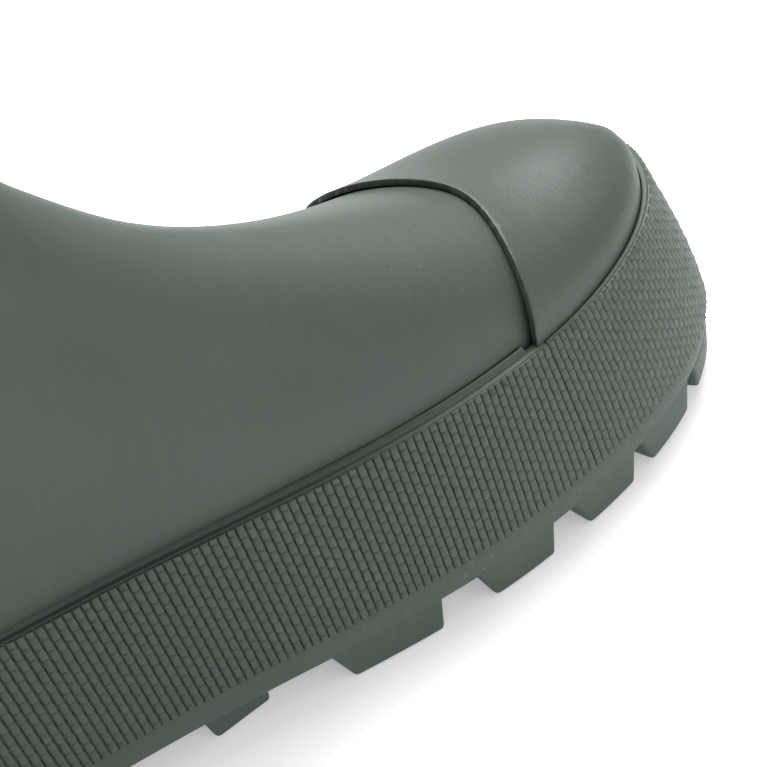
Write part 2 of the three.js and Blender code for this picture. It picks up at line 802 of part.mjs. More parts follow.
// Lugs that point out from a centre, as round the toe and the heel
function fanLugs({ centreX, innerRadius, outerRadius, facing, angles, width }, top) {
  return angles.map((degrees) => {
    const geometry = lug(width, outerRadius - innerRadius, top);
    geometry.translate(-width / 2, 0, 0);
    geometry.rotateZ(-Math.PI / 2);
    geometry.translate(outerRadius, 0, 0);
    geometry.rotateZ(facing + THREE.MathUtils.degToRad(degrees));
    geometry.translate(centreX, 0, 0);
    return solidOf(geometry);
  });
}

// Chevron bars down the middle of the forefoot
function centreBars(top) {
  const { length, half, skew } = CENTRE_BAR;
  return CENTRE_BARS.flatMap((x) => [-1, 1].map((sign) => {
    const geometry = lug(length, half, top);
    geometry.translate(0, sign < 0 ? BAR_OVERLAP : half - BAR_OVERLAP, 0);
    geometry.rotateZ(sign * THREE.MathUtils.degToRad(-skew));
    geometry.translate(x, 0, 0);
    return solidOf(geometry);
  }));
}

// Lugs cut flush with the sole's edge
function trimmed(lugs, top) {
  const edge = solid(stack([
    { edge: SOLE_EDGE, z: -1, level: true },
    { edge: SOLE_EDGE, z: top, level: true },
  ]));
  return wasm.Manifold.union(lugs).intersect(edge);
}

// Lifts the tread towards the toe tip, as a boot's toe stands off the ground
function withToeSpring(geometry) {
  const position = geometry.getAttribute('position');
  for (let i = 0; i < position.count; i += 1) {
    if (position.getZ(i) < LUG_DEPTH - 1) {
      const lift = TOE_SPRING * toeShare(position.getX(i), 0) ** 2;
      position.setZ(i, position.getZ(i) + lift);
    }
  }
  return geometry;
}

function makeOutsole() {
  const top = LUG_DEPTH + LUG_ROOT;
  const plate = solid(stack([notchTop, { edge: SOLE_EDGE, z: SOLE_TOP }]));
  const waistBar = box(
    new THREE.Vector3(WAIST_BAR.from, -SIDES.medial.waist, 0),
    new THREE.Vector3(WAIST_BAR.to, SIDES.lateral.waist, top),
  ).intersect(solid(stack([
    { edge: inward(SOLE_EDGE, WAIST_BAR.inset), z: -1, level: true },
    { edge: inward(SOLE_EDGE, WAIST_BAR.inset), z: top, level: true },
  ])));
  const lugs = trimmed([
    ...sideLugs(SIDE_LUGS, top),
    ...fanLugs(TOE_LUGS, top),
    ...centreBars(top),
  ], top);
  return withToeSpring(geometryOf(wasm.Manifold.union([plate, lugs, waistBar])));
}

function makeHeelBlock() {
  const web = solid(stack([
    { edge: SOLE_EDGE, z: HEEL_LUG_DEPTH, level: true },
    { edge: SOLE_EDGE, z: LUG_DEPTH - CLEARANCE },
  ])).intersect(slice(-1, HEEL_BREAST_X));
  const top = HEEL_LUG_DEPTH + LUG_ROOT;
  const lugs = trimmed([...sideLugs(HEEL_SIDE_LUGS, top), ...fanLugs(HEEL_LUGS, top)], top);
  return geometryOf(web.add(lugs.intersect(slice(-1, HEEL_BREAST_X))));
}

// ---------------------------------------------------------------- inside the sole

const UPPER_FOOT_EDGE = { side: BAND_FOOT, toe: UPPER_TOP_EDGE.toe, heel: BAND_FOOT };
const MARGIN_EDGE = inward(UPPER_FOOT_EDGE, LASTING_MARGIN);

// The outline of a piece inside the foot, clear of the rounded corner under the heel
function seatEdge(distance) {
  const edge = inward(UPPER_FOOT_EDGE, distance);
  return { ...edge, toe: edge.toe + TOE_PLAY, heel: edge.heel + HEEL_CORNER * 0.75 };
}

function slab(edge, bottom, thickness) {
  return stack([{ edge, z: bottom }, { edge, z: bottom + thickness }]);
}

// A straight strip along the waist that follows the heel's pitch
function waistStrip(margin, bottom, thickness) {
  const strip = (along, across) => pitchedPoint(
    lerp(SHANK.from - margin, SHANK.to + margin, along),
    lerp(SHANK.width / 2 + margin, -SHANK.width / 2 - margin, across) + SHANK.y,
    bottom,
  );
  return layer(strip, evenly(SHANK_ROWS), [0, 1], [0, thickness]);
}

function makeFiller() {
  const body = solid(slab(inward(MARGIN_EDGE, CLEARANCE), UPPER_BOTTOM, RUBBER));
  return geometryOf(body.subtract(solid(waistStrip(CLEARANCE, UPPER_BOTTOM - 1, RUBBER + 2))));
}

const makeShank = () => waistStrip(0, UPPER_BOTTOM, RUBBER);

const BOARD_EDGE = seatEdge(RUBBER + BOARD_PLAY);
const makeInsoleBoard = () => slab(BOARD_EDGE, UPPER_BOTTOM + RUBBER + CLEARANCE, STIFFENER);

const STIFFENER_AT = [-RUBBER - CLEARANCE - STIFFENER, -RUBBER - CLEARANCE];
const FOOT_LINING_AT = [STIFFENER_AT[0] - CLEARANCE - LINING, STIFFENER_AT[0] - CLEARANCE];
const LEG_LINING_AT = [-RUBBER - CLEARANCE - LINING, -RUBBER - CLEARANCE];
const FOOTBED_EDGE = seatEdge(FOOTBED_PLAY - FOOT_LINING_AT[0]);
const FOOTBED_Z = UPPER_BOTTOM - FOOT_LINING_AT[0] + CLEARANCE;
const makeFootbedFoam = () => slab(FOOTBED_EDGE, FOOTBED_Z, FOOTBED.foam);
const makeFootbedCover = () => slab(FOOTBED_EDGE, FOOTBED_Z + FOOTBED.foam + CLEARANCE, FOOTBED.cover);

// ---------------------------------------------------------------- lining and stiffeners

const LINING_JOIN = distanceAtZ(VAMP_TOP_Z);
const LINING_TOP = distanceAtZ(BOOT_HEIGHT - BINDING_GAP);

// The lining moves out against the leg where the stiffeners end
function liningOffset(face) {
  return (distance) => lerp(
    FOOT_LINING_AT[face],
    LEG_LINING_AT[face],
    smoothstep(distance, lerp(FAN_START, FAN_END, 0.8), LINING_JOIN),
  );
}

const makeFootLining = () => sock(LINING_JOIN - CLEARANCE, [liningOffset(0), liningOffset(1)]);
const makeLegLining = () => tube(LINING_JOIN, LINING_TOP, LEG_ROWS, LEG_LINING_AT);

const VAMP_TOP = distanceAtZ(VAMP_TOP_Z);
const STIFFENER_Z = UPPER_BOTTOM + RUBBER + STIFFENER + 4 * CLEARANCE;

// A stiffener fills part of the space between the vamp and the lining.
function stiffener(region) {
  const space = footSpace(-RUBBER).subtract(footSpace(liningOffset(1)));
  const body = cutLayer(STIFFENER_AT, region.intersect(space));
  return geometryOf(mainBody(body.subtract(solid(sock(VAMP_TOP - CLEARANCE, [-RUBBER, 0])))));
}

function makeToePuff() {
  const region = sideRegion([
    [TOE_PUFF_BACK, STIFFENER_Z],
    [SOLE_LENGTH, STIFFENER_Z],
    [SOLE_LENGTH, BOOT_HEIGHT],
    [TOE_PUFF_BACK + CAP_CROWN, BOOT_HEIGHT],
    [TOE_PUFF_BACK + CAP_CROWN, CAP_RIDGE],
  ]);
  return stiffener(region);
}

function makeHeelCounter() {
  const base = STIFFENER_Z + HEEL_PITCH;
  const region = sideRegion([
    [-HEEL_X, base],
    [HEEL_X, base],
    [COUNTER.front, STIFFENER_Z + HEEL_PITCH / 2],
    [COUNTER.front, lerp(base, COUNTER.height, 0.5)],
    [lerp(HEEL_X, COUNTER.front, 0.4), lerp(base, COUNTER.height, 0.9)],
    [HEEL_X * 0.6, COUNTER.height],
    [-HEEL_X, COUNTER.height],
  ]);
  return stiffener(region);
}

// ---------------------------------------------------------------- rubber upper

function makeVamp() {
  const sheet = solid(sock(VAMP_TOP - CLEARANCE, [-RUBBER, 0]));
  const opening = stack([
    { edge: MARGIN_EDGE, z: UPPER_BOTTOM - 2 * RUBBER },
    { edge: MARGIN_EDGE, z: UPPER_BOTTOM + 1.2 * RUBBER },
  ]);
  return geometryOf(sheet.subtract(solid(opening)).subtract(footSpace(liningOffset(1))));
}

const makeLeg = () => tube(VAMP_TOP, distanceAtZ(BOOT_HEIGHT - BINDING_GAP), LEG_ROWS, [-RUBBER, 0]);

const OVERLAY_AT = [CLEARANCE, CLEARANCE + OVERLAY];

const makeAnkleBand = () => tube(
  distanceAtZ(VAMP_TOP_Z - ANKLE_BAND_WIDTH / 2),
  distanceAtZ(VAMP_TOP_Z + ANKLE_BAND_WIDTH / 2),
  2,
  OVERLAY_AT,
);

// The toe cap's edge bows forward over the ridge, and its hem is tucked into the foxing.
function capLayer(margin, offsets) {
  const surface = (along, around) => {
    const seamX = CAP_X - margin + CAP_CROWN * Math.sin(Math.PI * around) ** 2;
    const distance = lerp(TOE_START, distanceAtX(seamX), along);
    const hem = (side) => {
      const band = toeOfBand(frontLine.at(distance).x);
      return turnAtHeight(side, distance, band - CAP_TUCK - margin);
    };
    return skin(distance, lerp(hem(SIDES.medial), hem(SIDES.lateral), around));
  };
  const rows = evenly(CAP_ROWS).map((share) => share ** 1.3);
  return layer(surface, rows, evenly(CAP_COLUMNS), offsets, { closedStart: true });
}

// An overlay with its inner face fitted to the sheet under it
function fittedOver(geometry) {
  return geometryOf(mainBody(solid(geometry).subtract(footSpace(CLEARANCE)).subtract(footSpace(0))));
}

const OVERLAY_ROOT = -1; // an overlay is built from inside the sheet and then fitted

const makeToeCap = () => fittedOver(capLayer(0, [OVERLAY_ROOT, CLEARANCE + CAP_RUBBER]));

// A patch round the back of the heel or the leg, between two heights. front gives how
// far forward it reaches at a share of its height.
function backPatch(bottom, top, front, rows, columns, offsets) {
  const patch = (up, around) => {
    const z = lerp(bottom(around), top(around), up);
    const side = around < 0 ? SIDES.lateral : SIDES.medial;
    const x = lerp(backX(z), front(up), 1 - Math.cos((Math.PI / 2) * Math.abs(around)));
    return skinAt(side, x, z);
  };
  return layer(patch, evenly(rows), evenly(columns, -1, 1), offsets);
}

const HEEL_CAP_BOTTOM = BAND_TOP + GUM_STRIP_SHOWS + 2 * CLEARANCE;

const makeHeelCap = () => fittedOver(backPatch(
  () => HEEL_CAP_BOTTOM,
  (around) => lerp(HEEL_CAP.height, HEEL_CAP_BOTTOM + HEEL_CAP.sideHeight, Math.abs(around) ** 2),
  (up) => lerp(HEEL_CAP.front, HEEL_CAP.topFront, up),
  7,
  18,
  [OVERLAY_ROOT, OVERLAY_AT[1]],
));

// The point of the skin at a height, a distance to one side of the middle of the back
function skinBesideBack(z, offset) {
  const side = offset < 0 ? SIDES.lateral : SIDES.medial;
  const at = (share) => skinAt(side, lerp(backX(z), backX(z) + ANKLE_HALF, share ** 2), z);
  let low = 0;
  let high = 1;
  for (let i = 0; i < 20; i += 1) {
    const middle = (low + high) / 2;
    if (Math.abs(at(middle).y) > Math.abs(offset)) high = middle;
    else low = middle;
  }
  return at((low + high) / 2);
}

// A narrow strip up the middle of the back
function backStrip(width, bottom, top, rows, columns, offsets) {
  const strip = (up, across) => skinBesideBack(lerp(bottom, top, up), (across * width) / 2);
  return layer(strip, evenly(rows), evenly(columns, -1, 1), offsets);
}

const ANKLE_BAND_BOTTOM = VAMP_TOP_Z - ANKLE_BAND_WIDTH / 2;
const ANKLE_BAND_TOP = VAMP_TOP_Z + ANKLE_BAND_WIDTH / 2;
const BINDING_BOTTOM = BOOT_HEIGHT - BINDING_WIDTH;
const EDGE_GAP = 2 * CLEARANCE;

const makeLowerBackStrip = () => fittedOver(backStrip(
  BACK_STRIP_WIDTH,
  HEEL_CAP.height + EDGE_GAP,
  ANKLE_BAND_BOTTOM - EDGE_GAP,
  5,
  4,
  [OVERLAY_ROOT, OVERLAY_AT[1]],
));
const makeUpperBackStrip = () => backStrip(
  BACK_STRIP_WIDTH,
  ANKLE_BAND_TOP + EDGE_GAP,
  BINDING_BOTTOM - EDGE_GAP,
  7,
  4,
  OVERLAY_AT,
);

// The ledge that the other boot's toe pushes down on, to pull this one off
function makeKickSpur() {
  const root = OVERLAY_AT[1] + CLEARANCE;
  const ledge = (up, across) => (
    root + SPUR.skirt + SPUR.reach * Math.sin(Math.PI * up) ** 0.7 * Math.cos((Math.PI / 2) * across) ** 0.6
  );
  return backStrip(SPUR.width, SPUR.z - SPUR.height / 2, SPUR.z + SPUR.height / 2, 6, 10, [root, ledge]);
}

// A band folded over the top edge of the leg and its lining
function makeTopBinding() {
  const [innerFace, outerFace] = [LEG_LINING_AT[0] - CLEARANCE, CLEARANCE];
  const fold = BOOT_HEIGHT - BINDING_GAP + CLEARANCE;
  const profile = [
    [outerFace, BINDING_BOTTOM],
    [outerFace + BINDING_RUBBER, BINDING_BOTTOM],
    [outerFace + BINDING_RUBBER, fold],
    [outerFace + BINDING_RUBBER / 2, BOOT_HEIGHT],
    [innerFace - BINDING_RUBBER / 2, BOOT_HEIGHT],
    [innerFace - BINDING_RUBBER, fold],
    [innerFace - BINDING_RUBBER, BINDING_BOTTOM + BINDING_STEP],
    [innerFace, BINDING_BOTTOM + BINDING_STEP],
    [innerFace, fold],
    [outerFace, fold],
  ];
  const rings = profile.map(([offset, z]) => {
    const distance = distanceAtZ(z);
    return offsetGrid(skin, [distance, distance + 1], TURNS, offset, true)[0];
  });
  const build = faceBuilder();
  const at = build.grid([...rings, rings[0]]);
  const wrapped = (row, column) => at(row % rings.length, column);
  build.sheet(wrapped, rings.length, TURNS.length - 1, false);
  return build.geometry();
}

// ---------------------------------------------------------------- foxing

// The thin strip under the foxing, whose edge shows along the top of it
function makeGumStrip() {
  const wide = inward(SOLE_EDGE, -BAND_LEAN);
  const height = stack([
    { edge: wide, z: BAND_TOP - GUM_STRIP_TUCK },
    { edge: wide, z: BAND_TOP + GUM_STRIP_SHOWS },
  ]);
  const region = solid(height).intersect(slice(-HEEL_X, CAP_X - EDGE_GAP));
  return cutLayer([CLEARANCE, CLEARANCE + GUM_STRIP], region);
}

const foxing = (() => {
  const band = solid(stack([
    { edge: SOLE_EDGE, z: SOLE_TOP + CLEARANCE },
    { edge: BAND_TOP_EDGE, z: BAND_TOP, rise: BAND_TOE_RISE },
  ]));
  return band
    .subtract(footSpace(OUTER_LAYERS))
    .subtract(footSpace(0))
    .subtract(solid(capLayer(0, [OVERLAY_ROOT, CAP_LAYERS])))
    .subtract(solid(capLayer(CLEARANCE, [OVERLAY_ROOT, CAP_LAYERS])))
    .subtract(solid(capLayer(0, [OVERLAY_ROOT, CAP_LAYERS])).translate([2 * CLEARANCE, 0, 0]))
    .subtract(solid(capLayer(0, [OVERLAY_ROOT, CAP_LAYERS])).translate([CLEARANCE, 0, CLEARANCE]));
})();

// One length of the foxing, between two values of x and on one side or both
function foxingLength(fromX, toX, side) {
  const length = foxing.intersect(slice(fromX + CLEARANCE / 2, toX - CLEARANCE / 2));
  if (!side) return geometryOf(mainBody(length));
  const far = SOLE_LENGTH;
  return geometryOf(mainBody(length.intersect(box(
    new THREE.Vector3(0, side.sign < 0 ? -far : 0, 0),
    new THREE.Vector3(far, side.sign < 0 ? 0 : far, far),
  ))));
}

// ---------------------------------------------------------------- the boot

const FINISHES = {
  rubber: { color: 0x34453a, roughness: 0.62, metalness: 0 },
  rubberSole: { color: 0x33423a, roughness: 0.72, metalness: 0 },
  lining: { color: 0x8a8c84, roughness: 0.95, metalness: 0 },
  stiffener: { color: 0x2a2a28, roughness: 0.85, metalness: 0 },
  board: { color: 0x9a7b58, roughness: 0.9, metalness: 0 },
  cork: { color: 0xb08a5e, roughness: 0.95, metalness: 0 },
  steel: { color: 0xb4b8bb, roughness: 0.35, metalness: 1 },
  foam: { color: 0x3f4442, roughness: 0.95, metalness: 0 },
  knit: { color: 0x5d625c, roughness: 1, metalness: 0 },
};

const boot = new THREE.Group();

function addPiece(name, geometry, finish) {
  const piece = new THREE.Mesh(geometry, new THREE.MeshStandardMaterial(FINISHES[finish]));
  piece.name = name;
  boot.add(piece);
}

addPiece('outsole', makeOutsole(), 'rubberSole');
addPiece('heel_block', makeHeelBlock(), 'rubberSole');
addPiece('sole_filler', makeFiller(), 'cork');
addPiece('shank', makeShank(), 'steel');
addPiece('insole_board', makeInsoleBoard(), 'board');
addPiece('foot_lining', makeFootLining(), 'lining');
addPiece('leg_lining', makeLegLining(), 'lining');
addPiece('toe_puff', makeToePuff(), 'stiffener');
addPiece('heel_counter', makeHeelCounter(), 'stiffener');
addPiece('vamp', makeVamp(), 'rubber');
addPiece('leg', makeLeg(), 'rubber');
addPiece('ankle_band', makeAnkleBand(), 'rubber');
addPiece('toe_cap', makeToeCap(), 'rubber');
addPiece('heel_cap', makeHeelCap(), 'rubber');
addPiece('back_strip_lower', makeLowerBackStrip(), 'rubber');
addPiece('back_strip_upper', makeUpperBackStrip(), 'rubber');
addPiece('kick_spur', makeKickSpur(), 'rubber');
addPiece('top_binding', makeTopBinding(), 'rubber');
addPiece('gum_strip', geometryOf(makeGumStrip()), 'rubber');
addPiece('foxing_toe', foxingLength(FOXING_JOIN_X, SOLE_LENGTH + 1), 'rubber');
addPiece('foxing_medial', foxingLength(HEEL_FOXING_X, FOXING_JOIN_X, SIDES.medial), 'rubber');
addPiece('foxing_lateral', foxingLength(HEEL_FOXING_X, FOXING_JOIN_X, SIDES.lateral), 'rubber');
addPiece('foxing_heel', foxingLength(-1, HEEL_FOXING_X), 'rubber');
addPiece('footbed_foam', makeFootbedFoam(), 'foam');
addPiece('footbed_cover', makeFootbedCover(), 'knit');

// The origin stands on the ground, under the middle of the boot.
boot.updateMatrixWorld(true);
const bounds = new THREE.Box3().setFromObject(boot);
const middle = bounds.getCenter(new THREE.Vector3());
boot.position.set(-middle.x, -middle.y, -bounds.min.z);

export default boot;
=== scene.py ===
# A knee-height rubber rain boot: smooth rubber upper, toe cap, textured foxing band,
# lugged sole, lining and footbed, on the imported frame. The constants of the sole and the
# band are in millimetres, with x from the back of the heel. Settings and other lengths are metres.
import math

import bpy
import numpy as np
from bpy.props import FloatProperty, FloatVectorProperty, IntProperty, PointerProperty
from mathutils import Matrix, Vector


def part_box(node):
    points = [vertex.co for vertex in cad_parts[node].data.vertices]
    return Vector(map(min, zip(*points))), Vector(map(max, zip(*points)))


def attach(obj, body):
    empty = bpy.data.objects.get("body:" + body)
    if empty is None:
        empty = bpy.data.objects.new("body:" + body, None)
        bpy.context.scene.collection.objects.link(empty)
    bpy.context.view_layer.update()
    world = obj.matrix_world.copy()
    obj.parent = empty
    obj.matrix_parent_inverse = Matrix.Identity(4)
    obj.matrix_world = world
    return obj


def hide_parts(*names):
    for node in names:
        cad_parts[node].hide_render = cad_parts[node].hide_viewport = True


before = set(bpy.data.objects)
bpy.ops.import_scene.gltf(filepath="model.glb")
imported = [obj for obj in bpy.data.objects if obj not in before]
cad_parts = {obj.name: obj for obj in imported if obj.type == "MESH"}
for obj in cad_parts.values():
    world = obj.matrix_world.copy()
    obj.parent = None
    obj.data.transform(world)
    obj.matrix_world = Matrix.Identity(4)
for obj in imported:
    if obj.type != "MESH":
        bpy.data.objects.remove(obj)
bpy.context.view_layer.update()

bl_info = {
    "name": "Rubber Rain Boot",
    "version": (1, 0, 0),
    "blender": (4, 5, 0),
    "location": "View3D > Sidebar > Boot",
    "description": "Builds a rubber rain boot from its parts",
    "category": "Object",
}

MM = 0.001
BACK_OF_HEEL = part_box("outsole")[0].x  # the frame's x of the back of the sole


# ------------------------------------------------------------------ settings


class UpperSettings(bpy.types.PropertyGroup):
    """The smooth rubber upper"""

    colour: FloatVectorProperty(
        name="Colour", description="Colour of the smooth rubber", subtype="COLOR", size=3,
        min=0, max=1, default=(0.040, 0.062, 0.047),
    )
    roughness: FloatProperty(
        name="Roughness", description="Roughness of the smooth rubber", min=0, max=1, default=0.5,
    )
    sheet: FloatProperty(
        name="Sheet", description="Thickness of the rubber sheet", unit="LENGTH", default=0.0017,
    )
    cap: FloatProperty(
        name="Toe cap", description="Thickness of the toe cap's edge", unit="LENGTH", default=0.0015,
    )


class FoxingSettings(bpy.types.PropertyGroup):
    """The textured band round the foot"""

    colour: FloatVectorProperty(
        name="Colour", description="Colour of the band's rubber", subtype="COLOR", size=3,
        min=0, max=1, default=(0.040, 0.064, 0.048),
    )
    pitch: FloatProperty(
        name="Pitch", description="Width of one brick of the texture and its groove",
        unit="LENGTH", default=0.00188,
    )
    rows: IntProperty(
        name="Rows", description="Rows of bricks up the band", min=2, max=20, default=12,
    )
    raised: FloatProperty(
        name="Raised", description="How far a brick stands out of the band", unit="LENGTH",
        default=0.00065,
    )


class SoleSettings(bpy.types.PropertyGroup):
    """The lugged sole"""

    colour: FloatVectorProperty(
        name="Colour", description="Colour of the sole's rubber", subtype="COLOR", size=3,
        min=0, max=1, default=(0.046, 0.070, 0.054),
    )
    rounding: FloatProperty(
        name="Rounding", description="Radius along the lugs' edges", unit="LENGTH", default=0.0011,
    )


class StageSettings(bpy.types.PropertyGroup):
    """Floor and light"""

    floor: FloatVectorProperty(
        name="Floor", description="Colour of the floor", subtype="COLOR", size=3,
        min=0, max=1, default=(0.95, 0.95, 0.95),
    )
    glow: FloatProperty(
        name="Glow", description="Light given off by the floor, which lifts the shadows",
        min=0, default=0.35,
    )
    light: FloatProperty(
        name="Light", description="Strength of the light from all round", min=0, default=0.42,
    )


# ------------------------------------------------------------------ the sole's outline

SOLE_LENGTH = 307
TREAD_X = 212
HEEL_X = 46
TOE_ROUND = 2.45
HEEL_ROUND = 2.3
TOE_SWING = 4
MEDIAL = {"sign": -1, "tread": 52.5, "waist": 35.5, "waist_x": 96, "heel": 37.5}
LATERAL = {"sign": 1, "tread": 53.8, "waist": 43, "waist_x": 137, "heel": 40}
LUG_DEPTH = 8.7
NOTCH_RISE = 2.5
SOLE_TOP = 15.5
BAND_TOP = 49.4
BAND_TOE_RISE = 6.6
TOE_SPRING = 4
HEEL_PITCH = 7
PITCH_BACK_X = 30  # the heel seat is level behind this
PITCH_FRONT_X = 125  # and the forefoot is level in front of this
VAMP_TOP_Z = 204

# Insets of an edge inside the sole's own edge: along the sides, at the toe, at the heel
SOLE_EDGE = np.array([0.0, 0.0, 0.0])
BAND_EDGE = np.array([6.0, 13.8, 6.0])
UPPER_EDGE = np.array([8.7, 17.5, 8.7])
BRICK_MARGIN = 0.25  # plain band left above and below the bricks
BRICK_STEPS = [(0.15, 0.55), (0.15, 0.32), (0.2, 0.13)]  # how a brick steps in and up to its face
BRICK_UNEVEN = 0.2  # how much one brick's height differs from another's
BRICK_SUNK = 0.05  # a brick's bottom edge stands this far inside the band
BRICK_OVERLAP = 0.14  # a brick is this share longer than its place, so ends meet in a fine line
BRICK_SLANT = 0.3  # how far a brick leans along the band, as a share of its width
BRICK_TILT = 0.6  # its upper end and its front side stand out by this share more
CAP_LAYERS = 2.0  # the toe cap's face stands this far outside the vamp's
BAND_BEHIND = 2.45  # from the band's face in to the vamp, at the top edge
BAND_BEHIND_TOE = 2.6
BAND_ROOT = 6.0  # how far the band's bottom edge reaches in
BAND_FOOT = 0.3  # air between the sole's top and the band
BAND_LIP = 0.86  # the inner side falls to this share of the height below the top edge
JOIN_BACK_X = 66  # where the heel's length of band starts
JOIN_FRONT_X = 230.6  # where the toe's length of band starts
JOIN_GAP = 0.15
BAND_STEP = 2.5  # length of one face along the band
GUM_FRONT_X = 226  # the gum strip ends here, behind the toe cap
GUM_STEPS = 260
TANGENT_STEP = 0.4  # half the distance over which a direction along the outline is taken
TABLE_SIZE = 3001


def smooth(x, low, high):
    """0 below low and 1 above high, with a soft start and end."""
    t = np.clip((x - low) / (high - low), 0, 1)
    return t * t * (3 - 2 * t)


def half_width(side, x):
    """The sole's half width on one side, before the toe and heel are rounded."""
    front = side["waist"] + (side["tread"] - side["waist"]) * smooth(x, side["waist_x"], TREAD_X)
    back = side["heel"] + (side["waist"] - side["heel"]) * smooth(x, HEEL_X, side["waist_x"])
    return np.where(x > side["waist_x"], front, back)


def toe_share(x, inset=0.0):
    """0 at the tread's widest place and behind it, and 1 at the tip of the toe."""
    return np.clip((x - TREAD_X) / (SOLE_LENGTH - inset - TREAD_X), 0, 1)


def edge_point(side, station, inset):
    """x and y on one side. station runs 0 to 3: heel, waist, toe. inset is (..., 3)."""
    heel = HEEL_X - (HEEL_X - inset[..., 2]) * np.cos(np.pi / 2 * np.clip(station, 0, 1)) ** (2 / HEEL_ROUND)
    waist = HEEL_X + (TREAD_X - HEEL_X) * (station - 1)
    reach = np.sin(np.pi / 2 * np.clip(station - 2, 0, 1)) ** (2 / TOE_ROUND)
    toe = TREAD_X + (SOLE_LENGTH - inset[..., 1] - TREAD_X) * reach
    x = np.where(station < 1, heel, np.where(station < 2, waist, toe))
    toe_part = toe_share(x, inset[..., 1])
    heel_part = np.clip((HEEL_X - x) / (HEEL_X - inset[..., 2]), 0, 1)
    rounded = (1 - toe_part**TOE_ROUND) ** (1 / TOE_ROUND) * (1 - heel_part**HEEL_ROUND) ** (1 / HEEL_ROUND)
    y = side["sign"] * (half_width(side, x) - inset[..., 0]) * rounded + TOE_SWING * toe_part**2
    return np.stack([x, y], -1)


def length_table(side):
    """Stations along one side and the run from the heel to each."""
    stations = np.linspace(0, 3, TABLE_SIZE)
    points = edge_point(side, stations, np.broadcast_to(BAND_EDGE / 2, (TABLE_SIZE, 3)))
    steps = np.hypot(*np.diff(points, axis=0).T)
    return stations, np.concatenate([[0], np.cumsum(steps)])


STATIONS, MEDIAL_RUN = length_table(MEDIAL)
LATERAL_RUN = length_table(LATERAL)[1]
HALF_ROUND = MEDIAL_RUN[-1]
ALL_ROUND = HALF_ROUND + LATERAL_RUN[-1]


def outline(run, inset):
    """The outline's point at a run round the sole: from the heel up the medial side to
    the toe, and back down the lateral side."""
    run = np.mod(run, ALL_ROUND)
    medial = run <= HALF_ROUND
    near = edge_point(MEDIAL, np.interp(run, MEDIAL_RUN, STATIONS), inset)
    far = edge_point(LATERAL, np.interp(ALL_ROUND - run, LATERAL_RUN, STATIONS), inset)
    return np.where(medial[..., None], near, far)


def round_sole(run, inset, height, out, level=False):
    """Points in the frame, in metres, at a run, an inset, a height and a distance out."""
    run, height, out = np.broadcast_arrays(run, height, out)
    inset = np.broadcast_to(inset, run.shape + (3,))
    at = outline(run, inset)
    along = outline(run + TANGENT_STEP, inset) - outline(run - TANGENT_STEP, inset)
    along /= np.linalg.norm(along, axis=-1, keepdims=True)
    at = at + np.stack([along[..., 1], -along[..., 0]], -1) * out[..., None]
    x = at[..., 0]
    if level:
        lift = np.where(height < LUG_DEPTH - 1, TOE_SPRING * toe_share(x) ** 2, 0)
    else:
        fade = 1 - smooth(x, PITCH_BACK_X, PITCH_FRONT_X)
        lift = HEEL_PITCH * fade * (1 - smooth(height, BAND_TOP, VAMP_TOP_Z))
    return np.stack([x * MM + BACK_OF_HEEL, at[..., 1] * MM, (height + lift) * MM], -1)


def run_at(side, x):
    """The run at which one side of the outline reaches an x."""
    runs = MEDIAL_RUN if side is MEDIAL else LATERAL_RUN
    points = edge_point(side, STATIONS, np.broadcast_to(BAND_EDGE / 2, (len(STATIONS), 3)))
    run = float(np.interp(x, points[:, 0], runs))
    return run if side is MEDIAL else float(ALL_ROUND - run)


# ------------------------------------------------------------------ modelling helpers

SMALL_HOLE = 12  # a hole with no more edges than this is filled


def only(thing):
    """Selects one object alone."""
    if bpy.context.mode != "OBJECT":
        bpy.ops.object.mode_set(mode="OBJECT")
    bpy.ops.object.select_all(action="DESELECT")
    thing.select_set(True)
    bpy.context.view_layer.objects.active = thing


def coordinates(thing):
    """An object's vertices as an array of rows."""
    co = np.empty(len(thing.data.vertices) * 3)
    thing.data.vertices.foreach_get("co", co)
    return co.reshape(-1, 3)


def place(thing, points):
    """Moves every vertex of an object to its row of points."""
    thing.data.vertices.foreach_set("co", np.asarray(points, float).ravel())
    thing.data.update()


def flat_grid(name, columns, rows):
    """A unit sheet of faces: x is 0 to 1 along it and y is 0 to 1 up it."""
    bpy.ops.object.select_all(action="DESELECT")
    bpy.ops.mesh.primitive_grid_add(x_subdivisions=columns, y_subdivisions=rows, size=1)
    grid = bpy.context.object
    grid.name = name
    place(grid, coordinates(grid) + np.array([0.5, 0.5, 0]))
    return grid


def joined(name, things):
    """One object made of all the things given."""
    only(things[0])
    for thing in things:
        thing.select_set(True)
    if len(things) > 1:
        bpy.ops.object.join()
    things[0].name = name
    things[0].data.name = name
    return things[0]


def use_modifier(thing, kind, **values):
    """Adds a modifier with the values given and applies it."""
    only(thing)
    modifier = thing.modifiers.new(kind.title(), kind)
    for key, value in values.items():
        setattr(modifier, key, value)
    bpy.ops.object.modifier_apply(modifier=modifier.name)


def tidy_mesh(thing, angle=40, outward=True):
    """Joins doubles, turns faces outwards and shades them smooth up to an angle."""
    only(thing)
    bpy.ops.object.mode_set(mode="EDIT")
    bpy.ops.mesh.select_all(action="SELECT")
    bpy.ops.mesh.remove_doubles(threshold=1e-6)
    if outward:
        bpy.ops.mesh.normals_make_consistent(inside=False)
    bpy.ops.object.mode_set(mode="OBJECT")
    bpy.ops.object.shade_smooth_by_angle(angle=math.radians(angle))


